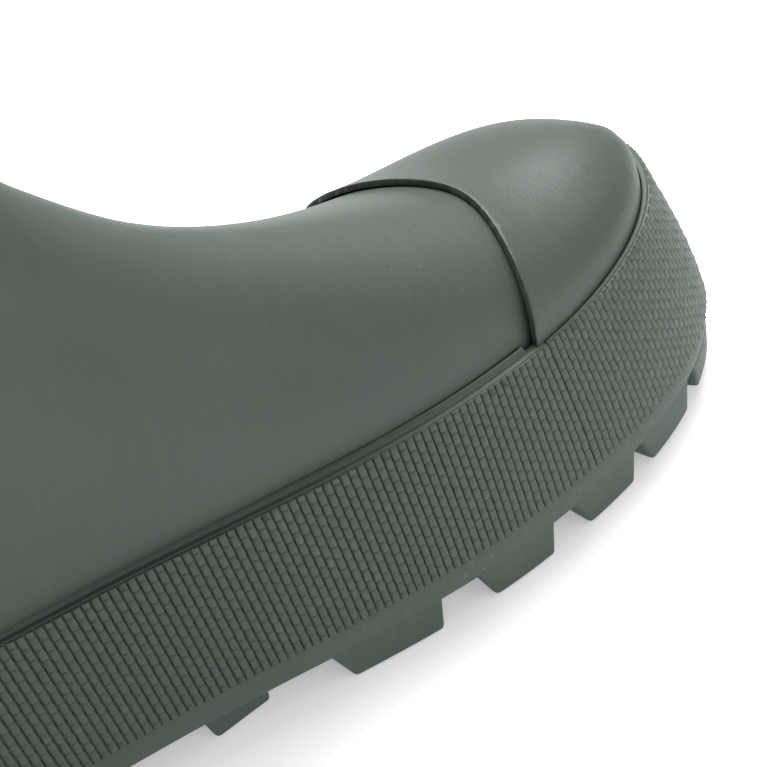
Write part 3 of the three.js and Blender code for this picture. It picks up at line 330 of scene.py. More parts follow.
def node_copy(name, node):
    """A copy of a frame node with its loose triangles joined into a surface."""
    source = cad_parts[node]
    copy = source.copy()
    copy.data = source.data.copy()
    copy.data.materials.clear()
    for key in list(copy.keys()):
        del copy[key]
    copy.parent = None
    copy.name = name
    copy.data.name = name
    bpy.context.scene.collection.objects.link(copy)
    only(copy)
    bpy.ops.object.mode_set(mode="EDIT")
    bpy.ops.mesh.select_all(action="SELECT")
    bpy.ops.mesh.remove_doubles(threshold=2e-5)
    bpy.ops.object.mode_set(mode="OBJECT")
    return copy


def keep_sheet(thing, seed, sharpness):
    """Keeps the smooth sheet of faces round the face nearest a point, with its small holes filled."""
    only(thing)
    centres = np.array([face.center for face in thing.data.polygons])
    nearest = int(np.argmin(np.linalg.norm(centres - np.array(seed), axis=1)))
    bpy.ops.object.mode_set(mode="EDIT")
    bpy.ops.mesh.select_mode(type="FACE")
    bpy.ops.mesh.select_all(action="DESELECT")
    bpy.ops.object.mode_set(mode="OBJECT")
    thing.data.polygons[nearest].select = True
    bpy.ops.object.mode_set(mode="EDIT")
    bpy.ops.mesh.faces_select_linked_flat(sharpness=math.radians(sharpness))
    bpy.ops.mesh.select_all(action="INVERT")
    bpy.ops.mesh.delete(type="FACE")
    bpy.ops.mesh.select_mode(type="VERT")
    bpy.ops.mesh.select_all(action="SELECT")
    bpy.ops.mesh.fill_holes(sides=SMALL_HOLE)
    bpy.ops.mesh.select_all(action="SELECT")
    quads()
    bpy.ops.object.mode_set(mode="OBJECT")


def quads():
    """Pairs the selected triangles."""
    limit = math.radians(70)
    bpy.ops.mesh.tris_convert_to_quads(face_threshold=limit, shape_threshold=limit)


def smooth_shell(name, node, seed, thickness, sharpness=60, levels=2, rim=0.0004):
    """The outer face of a node as one smooth sheet of rubber with rounded edges."""
    shell = node_copy(name, node)
    keep_sheet(shell, seed, sharpness)
    use_modifier(shell, "SUBSURF", levels=levels, render_levels=levels)
    use_modifier(shell, "SOLIDIFY", thickness=thickness, offset=-1)
    use_modifier(
        shell, "BEVEL", width=rim, segments=3, limit_method="ANGLE", angle_limit=math.radians(50),
    )
    tidy_mesh(shell, outward=False)
    return shell


def smooth_body(name, node, levels=2):
    """A whole node, subdivided into a smooth closed body."""
    body = node_copy(name, node)
    only(body)
    bpy.ops.object.mode_set(mode="EDIT")
    bpy.ops.mesh.select_all(action="SELECT")
    quads()
    bpy.ops.object.mode_set(mode="OBJECT")
    use_modifier(body, "SUBSURF", levels=levels, render_levels=levels)
    tidy_mesh(body, outward=False)
    return body


def finish_piece(thing, material, node, body="boot"):
    """Gives a piece its material and slot, in place of a node and on its body."""
    thing.data.materials.clear()
    thing.data.materials.append(material)
    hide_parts(node)
    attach(thing, body)


def close_up(thing, flat=False):
    """Joins a swept form's seam and fills what is open, as a flat plate or end by end."""
    only(thing)
    bpy.ops.object.mode_set(mode="EDIT")
    bpy.ops.mesh.select_all(action="SELECT")
    bpy.ops.mesh.remove_doubles(threshold=1e-6)
    bpy.ops.mesh.select_all(action="DESELECT")
    bpy.ops.mesh.select_mode(type="EDGE")
    bpy.ops.mesh.select_non_manifold()
    if flat:
        bpy.ops.mesh.fill()
    else:
        bpy.ops.mesh.fill_holes(sides=0)
    bpy.ops.mesh.select_all(action="SELECT")
    bpy.ops.mesh.normals_make_consistent(inside=False)
    bpy.ops.object.mode_set(mode="OBJECT")


def sweep(name, profile, start, end, steps):
    """A strip round the sole. profile lists (inset, height, out, rise) from its inner top
    round; the ends are capped."""
    rows = len(profile)
    strip = flat_grid(name, steps, rows)
    at = coordinates(strip)
    row = np.rint(at[:, 1] * rows).astype(int) % rows
    inset = np.array([p[0] for p in profile])[row]
    height = np.array([p[1] for p in profile])[row]
    out = np.array([p[2] for p in profile])[row]
    rise = np.array([p[3] for p in profile])[row]
    run = start + (end - start) * at[:, 0]
    share = toe_share(outline(run, inset)[:, 0], inset[:, 1])
    place(strip, round_sole(run, inset, height + rise * share**2, out))
    close_up(strip)
    return strip


# ------------------------------------------------------------------ materials


def new_material(name):
    """A node material, with its nodes, its links and its shader."""
    material = bpy.data.materials.new(name)
    material.use_nodes = True
    nodes = material.node_tree.nodes
    return material, nodes, material.node_tree.links, nodes["Principled BSDF"]


def noise(nodes, links, coordinate, scale, detail=4, stretch=(1, 1, 1)):
    """Cloudy noise from 0 to 1."""
    mapping = nodes.new("ShaderNodeMapping")
    mapping.inputs["Scale"].default_value = stretch
    links.new(coordinate, mapping.inputs["Vector"])
    texture = nodes.new("ShaderNodeTexNoise")
    texture.inputs["Scale"].default_value = scale
    texture.inputs["Detail"].default_value = detail
    links.new(mapping.outputs["Vector"], texture.inputs["Vector"])
    return texture.outputs["Fac"]


def ramp(nodes, links, factor, low, high, dark=(0, 0, 0), light=(1, 1, 1)):
    """A colour that goes from dark to light as a factor goes from low to high."""
    curve = nodes.new("ShaderNodeValToRGB")
    curve.color_ramp.elements[0].position = low
    curve.color_ramp.elements[1].position = high
    curve.color_ramp.elements[0].color = (*dark, 1)
    curve.color_ramp.elements[1].color = (*light, 1)
    links.new(factor, curve.inputs["Fac"])
    return curve.outputs["Color"]


def mixed(nodes, links, factor, first, second, blend="MIX"):
    """Two colours mixed. Each input is a socket or a constant."""
    mix = nodes.new("ShaderNodeMix")
    mix.data_type = "RGBA"
    mix.blend_type = blend
    for socket, value in (("Factor", factor), ("A", first), ("B", second)):
        kind = "VALUE" if socket == "Factor" else "RGBA"
        target = next(s for s in mix.inputs if s.name == socket and s.type == kind)
        if isinstance(value, bpy.types.NodeSocket):
            links.new(value, target)
        elif socket == "Factor":
            target.default_value = value
        else:
            target.default_value = (*value, 1)
    return next(s for s in mix.outputs if s.type == "RGBA")


def tinted(colour, scale):
    """A colour made lighter or darker."""
    return tuple(min(1, channel * scale) for channel in colour)


def scaled(nodes, links, value, factor):
    """A value multiplied by a constant."""
    product = nodes.new("ShaderNodeMath")
    product.operation = "MULTIPLY"
    links.new(value, product.inputs[0])
    product.inputs[1].default_value = factor
    return product.outputs[0]


def rubber(name, colour, roughness, grain=1.0, scuff=0.0, dust=0.5):
    """Matte vulcanised rubber: cloudy colour, fine brushed marks, dust and scuffs."""
    material, nodes, links, shader = new_material(name)
    place_on = nodes.new("ShaderNodeTexCoord").outputs["Object"]
    base = ramp(nodes, links, noise(nodes, links, place_on, 22, 4), 0.32, 0.7,
                tinted(colour, 0.95), tinted(colour, 1.06))
    marks = ramp(nodes, links, noise(nodes, links, place_on, 420, 4, (1, 0.22, 0.22)), 0.5, 0.7)
    base = mixed(nodes, links, scaled(nodes, links, marks, 0.14 * grain), base, tinted(colour, 1.6))
    speck = ramp(nodes, links, noise(nodes, links, place_on, 800, 2), 0.72, 0.77)
    patch = ramp(nodes, links, noise(nodes, links, place_on, 14, 3), 0.48, 0.62)
    both = mixed(nodes, links, 1.0, speck, patch, "MULTIPLY")
    base = mixed(nodes, links, scaled(nodes, links, both, dust), base, (0.34, 0.36, 0.34))
    if scuff:
        broken = ramp(nodes, links, noise(nodes, links, place_on, 520, 3), 0.6, 0.72)
        near = ramp(nodes, links, noise(nodes, links, place_on, 30, 3), 0.4, 0.6)
        rubbed = mixed(nodes, links, 1.0, broken, near, "MULTIPLY")
        base = mixed(nodes, links, scaled(nodes, links, rubbed, scuff), base, tinted(colour, 2.6))
    links.new(base, shader.inputs["Base Color"])
    rough = nodes.new("ShaderNodeMapRange")
    rough.inputs["To Min"].default_value = roughness - 0.08
    rough.inputs["To Max"].default_value = roughness + 0.08
    links.new(noise(nodes, links, place_on, 45, 4), rough.inputs["Value"])
    links.new(rough.outputs["Result"], shader.inputs["Roughness"])
    bump = nodes.new("ShaderNodeBump")
    bump.inputs["Strength"].default_value = 0.22 * grain
    bump.inputs["Distance"].default_value = 0.0003
    fine = nodes.new("ShaderNodeMath")
    fine.operation = "ADD"
    links.new(noise(nodes, links, place_on, 520, 4, (1, 0.3, 0.3)), fine.inputs[0])
    links.new(noise(nodes, links, place_on, 1400, 2), fine.inputs[1])
    links.new(fine.outputs[0], bump.inputs["Height"])
    links.new(bump.outputs["Normal"], shader.inputs["Normal"])
    shader.inputs["IOR"].default_value = 1.5
    return material


def knit(name, colour, thread):
    """Knitted cloth: rows of small loops with a soft nap."""
    material, nodes, links, shader = new_material(name)
    place_on = nodes.new("ShaderNodeTexCoord").outputs["Object"]
    heights = []
    for direction, angle in (("X", 0.0), ("Z", math.pi / 2)):
        mapping = nodes.new("ShaderNodeMapping")
        mapping.inputs["Rotation"].default_value = (0.6, angle * 0.5, 0.78)
        links.new(place_on, mapping.inputs["Vector"])
        wave = nodes.new("ShaderNodeTexWave")
        wave.bands_direction = direction
        wave.inputs["Scale"].default_value = 1 / (thread * 20)
        wave.inputs["Distortion"].default_value = 1.2
        wave.inputs["Detail"].default_value = 2
        links.new(mapping.outputs["Vector"], wave.inputs["Vector"])
        heights.append(wave.outputs["Fac"])
    total = nodes.new("ShaderNodeMath")
    total.operation = "MULTIPLY"
    links.new(heights[0], total.inputs[0])
    links.new(heights[1], total.inputs[1])
    links.new(ramp(nodes, links, total.outputs[0], 0, 0.8, tinted(colour, 0.6), tinted(colour, 1.25)),
              shader.inputs["Base Color"])
    bump = nodes.new("ShaderNodeBump")
    bump.inputs["Strength"].default_value = 0.6
    bump.inputs["Distance"].default_value = thread
    links.new(total.outputs[0], bump.inputs["Height"])
    links.new(bump.outputs["Normal"], shader.inputs["Normal"])
    shader.inputs["Roughness"].default_value = 0.95
    shader.inputs["Sheen Weight"].default_value = 0.35
    return material


def speckled(name, dark, light, scale, roughness, metallic=0.0, stretch=(1, 1, 1)):
    """A grained filler, board or rolled metal."""
    material, nodes, links, shader = new_material(name)
    place_on = nodes.new("ShaderNodeTexCoord").outputs["Object"]
    grain = noise(nodes, links, place_on, scale, 5, stretch)
    links.new(ramp(nodes, links, grain, 0.38, 0.64, dark, light), shader.inputs["Base Color"])
    bump = nodes.new("ShaderNodeBump")
    bump.inputs["Strength"].default_value = 0.3
    bump.inputs["Distance"].default_value = 0.0003
    links.new(grain, bump.inputs["Height"])
    links.new(bump.outputs["Normal"], shader.inputs["Normal"])
    shader.inputs["Roughness"].default_value = roughness
    shader.inputs["Metallic"].default_value = metallic
    return material


MADE = {}


def finish_of(kind):
    """Each finish is made once and shared by the pieces that have it."""
    if kind not in MADE:
        boot = bpy.context.scene
        upper, foxing, sole = boot.boot_upper, boot.boot_foxing, boot.boot_sole
        makers = {
            "upper": lambda: rubber("upper_rubber", upper.colour, upper.roughness, dust=0.15),
            "overlay": lambda: rubber("overlay_rubber", upper.colour, upper.roughness, dust=0.15),
            "foxing": lambda: rubber("foxing_rubber", foxing.colour, 0.5, 0.6, 0.3, 0.2),
            "sole": lambda: rubber("sole_rubber", sole.colour, 0.58, 1.0, 0.25, 0.5),
            "lining": lambda: knit("lining_knit", (0.25, 0.26, 0.24), 0.0008),
            "footbed": lambda: knit("footbed_knit", (0.13, 0.145, 0.135), 0.0007),
            "foam": lambda: speckled(
                "closed_cell_foam", (0.05, 0.058, 0.054), (0.08, 0.09, 0.084), 900, 0.9,
            ),
            "stiffener": lambda: speckled(
                "stiffener_felt", (0.02, 0.02, 0.02), (0.05, 0.05, 0.048), 500, 0.9,
            ),
            "board": lambda: speckled("fibre_board", (0.26, 0.16, 0.085), (0.44, 0.3, 0.17), 260, 0.9),
            "cork": lambda: speckled("ground_cork", (0.24, 0.13, 0.06), (0.55, 0.37, 0.2), 330, 0.92),
            "steel": lambda: speckled(
                "rolled_steel", (0.5, 0.52, 0.54), (0.68, 0.7, 0.72), 300, 0.34, 1.0, (0.08, 1, 1),
            ),
        }
        MADE[kind] = makers[kind]()
    return MADE[kind]


# ------------------------------------------------------------------ the pieces


class BOOT_OT_upper(bpy.types.Operator):
    """Builds the vamp and the leg as smooth rubber sheets"""

    bl_idname = "boot.upper"
    bl_label = "Upper"

    def execute(self, context):
        thickness = context.scene.boot_upper.sheet
        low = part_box("vamp")[0]
        vamp = smooth_shell("vamp_sheet", "vamp", (0.02, low.y, 0.06), thickness)
        finish_piece(vamp, finish_of("upper"), "vamp")
        leg = smooth_body("leg_sheet", "leg")
        finish_piece(leg, finish_of("upper"), "leg")
        return {"FINISHED"}


class BOOT_OT_toe_cap(bpy.types.Operator):
    """Builds the toe cap, an overlay with its own rounded edge"""

    bl_idname = "boot.toe_cap"
    bl_label = "Toe cap"

    def execute(self, context):
        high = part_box("toe_cap")[1]
        cap = smooth_shell(
            "toe_cap_sheet", "toe_cap", (0.105, 0, high.z), context.scene.boot_upper.cap, 60, 3, 0.0003,
        )
        finish_piece(cap, finish_of("upper"), "toe_cap")
        return {"FINISHED"}


class BOOT_OT_overlays(bpy.types.Operator):
    """Builds the heel cap, back strips, ankle band, kick spur and top binding"""

    bl_idname = "boot.overlays"
    bl_label = "Overlays"

    def execute(self, context):
        low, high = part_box("heel_cap")
        heel = smooth_shell("heel_cap_sheet", "heel_cap", (low.x, 0, (low.z + high.z) / 2), 0.0018, 45)
        finish_piece(heel, finish_of("overlay"), "heel_cap")
        low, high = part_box("back_strip_lower")
        strip = smooth_shell(
            "back_strip_lower_sheet", "back_strip_lower", (low.x, 0, (low.z + high.z) / 2), 0.0015, 45,
        )
        finish_piece(strip, finish_of("overlay"), "back_strip_lower")
        for node in ("back_strip_upper", "ankle_band", "kick_spur", "top_binding"):
            piece = smooth_body(node + "_form", node)
            finish_piece(piece, finish_of("overlay"), node)
        return {"FINISHED"}


def brick_sheet(name, start, end, pitch, rows, raised):
    """Columns of raised bricks on the band, every other column half a brick higher."""
    count = max(4, round((end - start) / pitch))
    sheet = flat_grid(name, count, rows + 1)
    only(sheet)
    bpy.ops.object.mode_set(mode="EDIT")
    bpy.ops.mesh.select_all(action="SELECT")
    bpy.ops.mesh.edge_split(type="EDGE")
    bpy.ops.mesh.select_mode(type="FACE")
    bpy.ops.mesh.select_all(action="DESELECT")
    bpy.ops.object.mode_set(mode="OBJECT")
    for face in sheet.data.polygons:
        odd = int(face.center.x * count) % 2
        face.select = odd == 1 and face.center.y * (rows + 1) > rows
    bpy.ops.object.mode_set(mode="EDIT")
    bpy.ops.mesh.delete(type="FACE")
    bpy.ops.object.mode_set(mode="OBJECT")
    at = coordinates(sheet)
    middle = np.empty_like(at)
    for face in sheet.data.polygons:
        middle[list(face.vertices)] = face.center
    at = middle + (at - middle) * (1, 1 + BRICK_OVERLAP, 1)
    odd = np.floor(middle[:, 0] * count) % 2
    tall = (BAND_TOP - SOLE_TOP - 2 * BRICK_MARGIN) / rows
    at[:, 1] = (at[:, 1] * (rows + 1) - 0.5 + 0.5 * odd) * tall
    at[:, 0] *= end - start
    place(sheet, at)
    bpy.ops.object.mode_set(mode="EDIT")
    bpy.ops.mesh.select_all(action="SELECT")
    for width, rise in BRICK_STEPS:
        bpy.ops.mesh.inset(thickness=width, use_individual=True)
        bpy.ops.transform.translate(value=(0, 0, rise * raised))
    bpy.ops.object.mode_set(mode="OBJECT")
    at = coordinates(sheet)
    column = at[:, 0] / (end - start) * count
    row = at[:, 1] / tall + 0.5 * (np.floor(column) % 2)
    uneven = np.sin(np.floor(column) * 12.9898 + np.floor(row) * 78.233)
    slant = BRICK_SLANT * (row % 1 - 0.5) * pitch
    swelled = 1 + BRICK_UNEVEN * uneven + BRICK_TILT * (column % 1 - 0.5) + BRICK_TILT * (row % 1 - 0.5)
    up = (BRICK_MARGIN + np.clip(at[:, 1], 0, tall * rows)) / (BAND_TOP - SOLE_TOP)
    lean = np.outer(up, BAND_EDGE)
    run = np.clip(start + at[:, 0] - slant, start, end)
    share = toe_share(outline(run, lean)[:, 0], lean[:, 1])
    height = SOLE_TOP + up * (BAND_TOP - SOLE_TOP + BAND_TOE_RISE * share**2)
    out = at[:, 2] * swelled + band_swell(up, share) - BRICK_SUNK
    place(sheet, round_sole(run, lean, height, out))
    tidy_mesh(sheet, 50, outward=False)
    return sheet


def band_swell(up, share):
    """The band stands out a little in its lower half, more so round the toe."""
    return (0.5 + 0.9 * share) * np.sin(np.pi * np.clip(up, 0, 1)) * (1 - 0.6 * up)


def band_body(name, start, end, steps, under_cap):
    """The plain band under the bricks. Its top edge closes on what lies behind it."""
    levels = 9
    rows = levels + 3
    strip = flat_grid(name, steps, rows)
    at = coordinates(strip)
    row = np.rint(at[:, 1] * rows).astype(int) % rows
    run = start + (end - start) * at[:, 0]
    inner = row >= levels
    inner_up = np.select([row == levels, row == levels + 1], [1.0, BAND_LIP], 0.0)
    up = np.where(inner, inner_up, row / (levels - 1))
    lean = np.outer(up, BAND_EDGE)
    share = toe_share(outline(run, lean)[:, 0], lean[:, 1])
    behind = (BAND_BEHIND_TOE + share - CAP_LAYERS) if under_cap else BAND_BEHIND
    depth = np.where(row == levels + 2, BAND_ROOT, behind)
    height = SOLE_TOP + BAND_FOOT + up * (BAND_TOP - SOLE_TOP - BAND_FOOT + BAND_TOE_RISE * share**2)
    out = np.where(inner, -depth, band_swell(up, share))
    place(strip, round_sole(run, lean, height, out))
    close_up(strip)
    use_modifier(
        strip, "BEVEL", width=0.0003, segments=2, limit_method="ANGLE", angle_limit=math.radians(50),
    )
    return strip


class BOOT_OT_foxing(bpy.types.Operator):
    """Builds the textured foxing in its four lengths, and the gum strip above it"""

    bl_idname = "boot.foxing"
    bl_label = "Foxing"

    def execute(self, context):
        settings = context.scene.boot_foxing
        pitch, raised = settings.pitch / MM, settings.raised / MM
        medial_back, medial_front = run_at(MEDIAL, JOIN_BACK_X), run_at(MEDIAL, JOIN_FRONT_X)
        lateral_front, lateral_back = run_at(LATERAL, JOIN_FRONT_X), run_at(LATERAL, JOIN_BACK_X)
        lengths = [
            ("foxing_medial", medial_back, medial_front),
            ("foxing_toe", medial_front + JOIN_GAP, lateral_front - JOIN_GAP),
            ("foxing_lateral", lateral_front, lateral_back),
            ("foxing_heel", lateral_back + JOIN_GAP, medial_back + ALL_ROUND - JOIN_GAP),
        ]
        for node, start, end in lengths:
            steps = round((end - start) / BAND_STEP)
            body = band_body(node + "_band", start, end, steps, node == "foxing_toe")
            bricks = brick_sheet(node + "_bricks", start, end, pitch, settings.rows, raised)
            whole = joined(node + "_band", [body, bricks])
            only(whole)
            bpy.ops.object.shade_smooth_by_angle(angle=math.radians(50))
            finish_piece(whole, finish_of("foxing"), node)
        low, high = BAND_TOP - 4, BAND_TOP + 0.4
        edge = UPPER_EDGE
        profile = [
            (edge, low, 0.2, 0), (edge, low, 1.5, 0), (edge, high - 0.4, 1.5, BAND_TOE_RISE),
            (edge, high, 1.3, BAND_TOE_RISE), (edge, high + 0.8, 0.35, BAND_TOE_RISE),
            (edge, high + 0.8, 0.2, BAND_TOE_RISE),
        ]
        front = run_at(MEDIAL, GUM_FRONT_X)
        back = run_at(LATERAL, GUM_FRONT_X) - ALL_ROUND
        gum = sweep("gum_strip_edge", profile, back, front, GUM_STEPS)
        tidy_mesh(gum, 45)
        finish_piece(gum, finish_of("overlay"), "gum_strip")
        return {"FINISHED"}


def lug(name, start, end, reach, top, lean):
    """One lug on the sole's edge, from a run to a run, reaching inwards. lean is how far its
    two ends spread at the root."""
    grid = flat_grid(name, 8, 4)
    only(grid)
    bpy.ops.object.mode_set(mode="EDIT")
    bpy.ops.mesh.select_all(action="SELECT")
    bpy.ops.mesh.extrude_region_move(TRANSFORM_OT_translate={"value": (0, 0, 1)})
    bpy.ops.mesh.select_all(action="SELECT")
    bpy.ops.mesh.normals_make_consistent(inside=False)
    bpy.ops.object.mode_set(mode="OBJECT")
    at = coordinates(grid)
    up = at[:, 2]
    first, last = start - lean[0] * up, end + lean[1] * up
    run = first + (last - first) * at[:, 0]
    place(grid, round_sole(run, SOLE_EDGE, top * up, -reach * at[:, 1], level=True))
    return grid


def block(name, centre, size, turn, lean):
    """A free-standing bar in the middle of the tread, leaning out at its root."""
    bpy.ops.object.select_all(action="DESELECT")
    bpy.ops.mesh.primitive_cube_add(size=1)
    bar = bpy.context.object
    bar.name = name
    at = coordinates(bar)
    up = at[:, 2] + 0.5
    x = at[:, 0] * size[0] + np.where(at[:, 0] < 0, -lean, lean / 3) * up
    y = at[:, 1] * size[1]
    cos, sin = math.cos(turn), math.sin(turn)
    ahead = centre[0] + x * cos - y * sin
    across = centre[1] + x * sin + y * cos
    lift = np.where(up < 0.5, TOE_SPRING * toe_share(ahead) ** 2, 0)
    place(bar, np.stack([ahead * MM + BACK_OF_HEEL, across * MM, (up * size[2] + lift) * MM], -1))
    return bar


def soften(thing, width):
    """Rounds a lug's sharp edges."""
    only(thing)
    bpy.ops.object.mode_set(mode="EDIT")
    bpy.ops.mesh.select_all(action="SELECT")
    bpy.ops.mesh.normals_make_consistent(inside=False)
    bpy.ops.mesh.select_mode(type="EDGE")
    bpy.ops.mesh.select_all(action="DESELECT")
    bpy.ops.mesh.edges_select_sharp(sharpness=math.radians(50))
    bpy.ops.mesh.bevel(offset=width, segments=3, affect="EDGES")
    bpy.ops.object.mode_set(mode="OBJECT")


SIDE_LUGS = [(163.7, 185.5), (199.4, 216.3), (227.1, 242.0), (249.3, 265.9)]
SIDE_LUG_REACH = 18
FRONT_LEAN = 1.6  # a side lug's front end leans less than its back end
BACK_LEAN = 4.5
TOE_LUG_RUNS = [-46, -17, 17, 46]  # their middles, along the edge from the tip of the toe
TOE_LUG_HALF = 7.5
TOE_LUG_REACH = 26
TOE_LUG_LEAN = 2.5
LUG_ROOT = 2  # how far a lug runs up into the sole
CENTRE_BARS = [161, 192, 224, 253]
CENTRE_BAR_ASIDE = 9
CENTRE_BAR_SIZE = (12, 19)
CENTRE_BAR_TURN = math.radians(20)
WAIST_BAR_CENTRE = (140, 1)
WAIST_BAR_SIZE = (14, 76)
WAIST_BAR_LEAN = 2
PLATE_STEPS = 420
# The plate's rim: inset, height, and how much higher it is at the tip of the toe
PLATE_RIM = [
    (9.0, LUG_DEPTH + 0.1, NOTCH_RISE),
    (0.9, LUG_DEPTH, NOTCH_RISE),
    (0.25, LUG_DEPTH + 0.25, NOTCH_RISE),
    (0.0, LUG_DEPTH + 0.9, NOTCH_RISE),
    (0.0, SOLE_TOP - 0.8, 0),
    (0.25, SOLE_TOP - 0.25, 0),
    (0.9, SOLE_TOP, 0),
    (9.0, SOLE_TOP, 0),
]


def sole_plate(name, profile, steps):
    """A closed plate whose rim follows a profile of (inset, height, rise)."""
    rows = len(profile)
    plate = flat_grid(name, steps, rows - 1)
    at = coordinates(plate)
    row = np.rint(at[:, 1] * (rows - 1)).astype(int)
    inset = np.array([p[0] for p in profile])[row][:, None] * np.ones(3)
    height = np.array([p[1] for p in profile])[row]
    rise = np.array([p[2] for p in profile])[row]
    run = ALL_ROUND * at[:, 0]
    share = toe_share(outline(run, inset)[:, 0], inset[:, 1])
    place(plate, round_sole(run, inset, height + rise * share**2, 0.0))
    close_up(plate, flat=True)
    return plate


class BOOT_OT_sole(bpy.types.Operator):
    """Builds the outsole with its lugs, and the heel block"""

    bl_idname = "boot.sole"
    bl_label = "Sole"

    def execute(self, context):
        rounding = context.scene.boot_sole.rounding
        top = LUG_DEPTH + LUG_ROOT
        plate = sole_plate("outsole_plate", PLATE_RIM, PLATE_STEPS)
        lugs = []
        for side in (MEDIAL, LATERAL):
            lean = (BACK_LEAN, FRONT_LEAN) if side is MEDIAL else (FRONT_LEAN, BACK_LEAN)
            for back, front in SIDE_LUGS:
                ends = sorted([run_at(side, back), run_at(side, front)])
                lugs.append(lug("lug", ends[0], ends[1], SIDE_LUG_REACH, top, lean))
        for offset in TOE_LUG_RUNS:
            start, end = HALF_ROUND + offset - TOE_LUG_HALF, HALF_ROUND + offset + TOE_LUG_HALF
            lugs.append(lug("lug", start, end, TOE_LUG_REACH, top, (TOE_LUG_LEAN, TOE_LUG_LEAN)))
        for x in CENTRE_BARS:
            for sign in (-1, 1):
                centre, turn = (x, sign * CENTRE_BAR_ASIDE), sign * -CENTRE_BAR_TURN
                lugs.append(block("bar", centre, (*CENTRE_BAR_SIZE, top), turn, BACK_LEAN))
        waist_size = (*WAIST_BAR_SIZE, top)
        lugs.append(block("waist_bar", WAIST_BAR_CENTRE, waist_size, 0, WAIST_BAR_LEAN))
        for item in lugs:
            soften(item, rounding)
        sole = joined("outsole_form", [plate, *lugs])
        only(sole)
        bpy.ops.object.shade_smooth_by_angle(angle=math.radians(35))
        finish_piece(sole, finish_of("sole"), "outsole")
        heel = node_copy("heel_block_form", "heel_block")
        use_modifier(heel, "DECIMATE", decimate_type="DISSOLVE", angle_limit=math.radians(2))
        use_modifier(heel, "BEVEL", width=0.0007, segments=2, limit_method="ANGLE",
                     angle_limit=math.radians(40))
        tidy_mesh(heel, 35, outward=False)
        finish_piece(heel, finish_of("sole"), "heel_block")
        return {"FINISHED"}


class BOOT_OT_lining(bpy.types.Operator):
    """Builds the knitted lining of the foot and of the leg"""

    bl_idname = "boot.lining"
    bl_label = "Lining"

    def execute(self, context):
        for node in ("foot_lining", "leg_lining"):
            piece = smooth_body(node + "_cloth", node)
            finish_piece(piece, finish_of("lining"), node)
        return {"FINISHED"}


class BOOT_OT_footbed(bpy.types.Operator):
    """Builds the lift-out footbed: foam with a knitted cover"""

    bl_idname = "boot.footbed"
    bl_label = "Footbed"

    def execute(self, context):
        for node, kind, slot in (("footbed_foam", "foam", "foam"), ("footbed_cover", "footbed", "knit")):
            piece = node_copy(node + "_form", node)
            use_modifier(piece, "BEVEL", width=0.0004, segments=2, limit_method="ANGLE",
                         angle_limit=math.radians(60))
            tidy_mesh(piece, 40, outward=False)
            finish_piece(piece, finish_of(kind), node, "footbed")
        return {"FINISHED"}


class BOOT_OT_inner(bpy.types.Operator):
    """Gives the hidden pieces of the sole and the stiffeners their finishes"""

    bl_idname = "boot.inner"
    bl_label = "Inner pieces"

    def execute(self, context):
        kinds = {
            "sole_filler": "cork", "shank": "steel", "insole_board": "board",
            "toe_puff": "stiffener", "heel_counter": "stiffener",
        }
        for node, kind in kinds.items():
            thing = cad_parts[node]
            thing.data.materials.clear()
            thing.data.materials.append(finish_of(kind))
        return {"FINISHED"}


# ------------------------------------------------------------------ stage

CAMERA_AT = Vector((0.11024 + BACK_OF_HEEL, -0.19958, 0.19768))
CAMERA_RIGHT = Vector((0.79288, -0.55513, -0.25134))
CAMERA_UP = Vector((0.51050, 0.37987, 0.77142))
CAMERA_AHEAD = Vector((0.33276, 0.73995, -0.58459))


def area_light(name, at, aim, size, power):
    """A square soft light that looks at a point."""
    light = bpy.data.lights.new(name, "AREA")
    light.size = size
    light.energy = power
    thing = bpy.data.objects.new(name, light)
    bpy.context.scene.collection.objects.link(thing)
    thing.location = at
    thing.rotation_euler = (Vector(aim) - Vector(at)).to_track_quat("-Z", "Y").to_euler()


def studio_world(strength):
    """Soft light from all round, brighter from above the toe."""
    world = bpy.data.worlds.new("studio")
    world.use_nodes = True
    nodes = world.node_tree.nodes
    links = world.node_tree.links
    facing = nodes.new("ShaderNodeVectorMath")
    facing.operation = "DOT_PRODUCT"
    facing.inputs[1].default_value = (0.72, -0.2, 0.66)
    links.new(nodes.new("ShaderNodeTexCoord").outputs["Generated"], facing.inputs[0])
    level = nodes.new("ShaderNodeMapRange")
    level.inputs["From Min"].default_value = -0.6
    level.inputs["To Min"].default_value = 0.25 * strength
    level.inputs["To Max"].default_value = 1.8 * strength
    links.new(facing.outputs["Value"], level.inputs["Value"])
    background = nodes["Background"]
    background.inputs["Color"].default_value = (1, 1, 1, 1)
    links.new(level.outputs["Result"], background.inputs["Strength"])
    return world


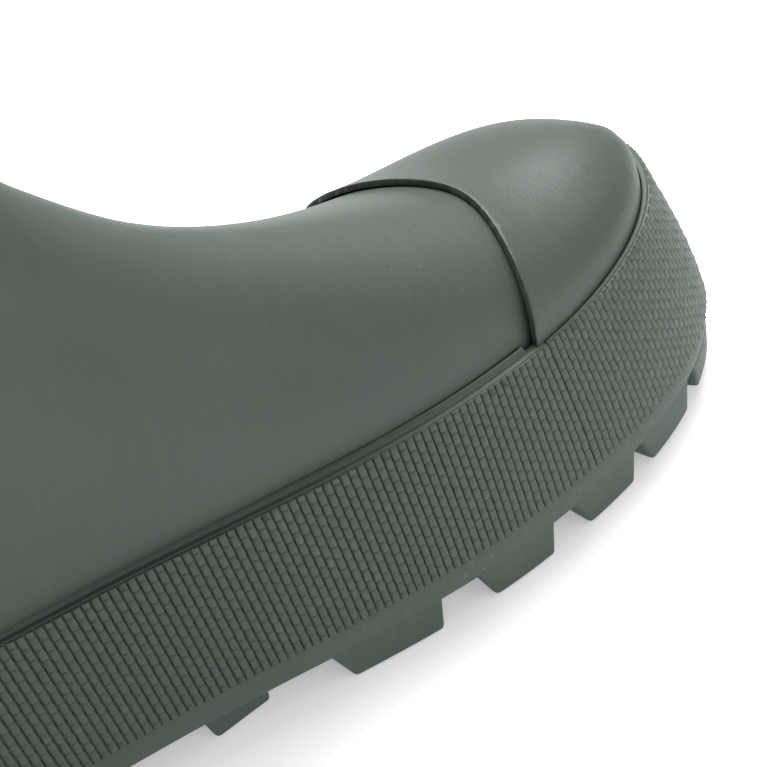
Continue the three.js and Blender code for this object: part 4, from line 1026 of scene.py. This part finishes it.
class BOOT_OT_stage(bpy.types.Operator):
    """Builds the floor, the light and the camera"""

    bl_idname = "boot.stage"
    bl_label = "Stage"

    def execute(self, context):
        settings = context.scene.boot_stage
        bpy.ops.object.select_all(action="DESELECT")
        bpy.ops.mesh.primitive_plane_add(size=14)
        floor = bpy.context.object
        floor.name = "studio_floor"
        place(floor, coordinates(floor) + np.array([0, 0, -0.0003]))
        material, _, _, shader = new_material("pale_floor")
        shader.inputs["Base Color"].default_value = (*settings.floor, 1)
        shader.inputs["Roughness"].default_value = 0.9
        # The floor glows: painted light, which fades the boot's shadow on the floor and lights the boot from
        # below
        shader.inputs["Emission Color"].default_value = (1, 1, 1, 1)
        shader.inputs["Emission Strength"].default_value = settings.glow
        floor.data.materials.append(material)
        context.scene.world = studio_world(settings.light)
        area_light("overhead", (0.45, 0.5, 1.15), (0.1, 0, 0.05), 0.9, 26)
        area_light("near_side", (0.6, -1.2, 0.45), (0.12, 0, 0.03), 0.7, 3)
        camera = bpy.data.cameras.new("camera")
        camera.sensor_width = 36
        camera.lens = 53.88
        camera.shift_x = 0.076
        camera.shift_y = -0.022
        camera.clip_start = 0.01
        thing = bpy.data.objects.new("camera", camera)
        context.scene.collection.objects.link(thing)
        turned = Matrix((CAMERA_RIGHT, CAMERA_UP, -CAMERA_AHEAD)).transposed().to_4x4()
        thing.matrix_world = Matrix.Translation(CAMERA_AT) @ turned
        context.scene.camera = thing
        context.scene.view_settings.view_transform = "Standard"
        return {"FINISHED"}


# ------------------------------------------------------------------ panel and registration

STEPS = (
    BOOT_OT_upper, BOOT_OT_toe_cap, BOOT_OT_overlays, BOOT_OT_foxing, BOOT_OT_sole,
    BOOT_OT_lining, BOOT_OT_footbed, BOOT_OT_inner, BOOT_OT_stage,
)
SETTINGS = {
    "boot_upper": UpperSettings,
    "boot_foxing": FoxingSettings,
    "boot_sole": SoleSettings,
    "boot_stage": StageSettings,
}


class BOOT_PT_panel(bpy.types.Panel):
    """Lists the boot's settings and building steps"""

    bl_idname = "BOOT_PT_panel"
    bl_label = "Rubber Rain Boot"
    bl_space_type = "VIEW_3D"
    bl_region_type = "UI"
    bl_category = "Boot"

    def draw(self, context):
        for name, group in SETTINGS.items():
            column = self.layout.box().column()
            for setting in group.__annotations__:
                column.prop(getattr(context.scene, name), setting)
        for step in STEPS:
            self.layout.operator(step.bl_idname)


def register():
    """Registers the settings, the steps and the panel."""
    for group in SETTINGS.values():
        bpy.utils.register_class(group)
    for name, group in SETTINGS.items():
        setattr(bpy.types.Scene, name, PointerProperty(type=group))
    for step in (*STEPS, BOOT_PT_panel):
        bpy.utils.register_class(step)


def unregister():
    """Takes back what register did."""
    for step in reversed((*STEPS, BOOT_PT_panel)):
        bpy.utils.unregister_class(step)
    for name, group in SETTINGS.items():
        delattr(bpy.types.Scene, name)
        bpy.utils.unregister_class(group)


def main():
    """Builds the boot step by step."""
    register()
    for step in STEPS:
        group, action = step.bl_idname.split(".")
        getattr(getattr(bpy.ops, group), action)()


if __name__ == "__main__":
    main()
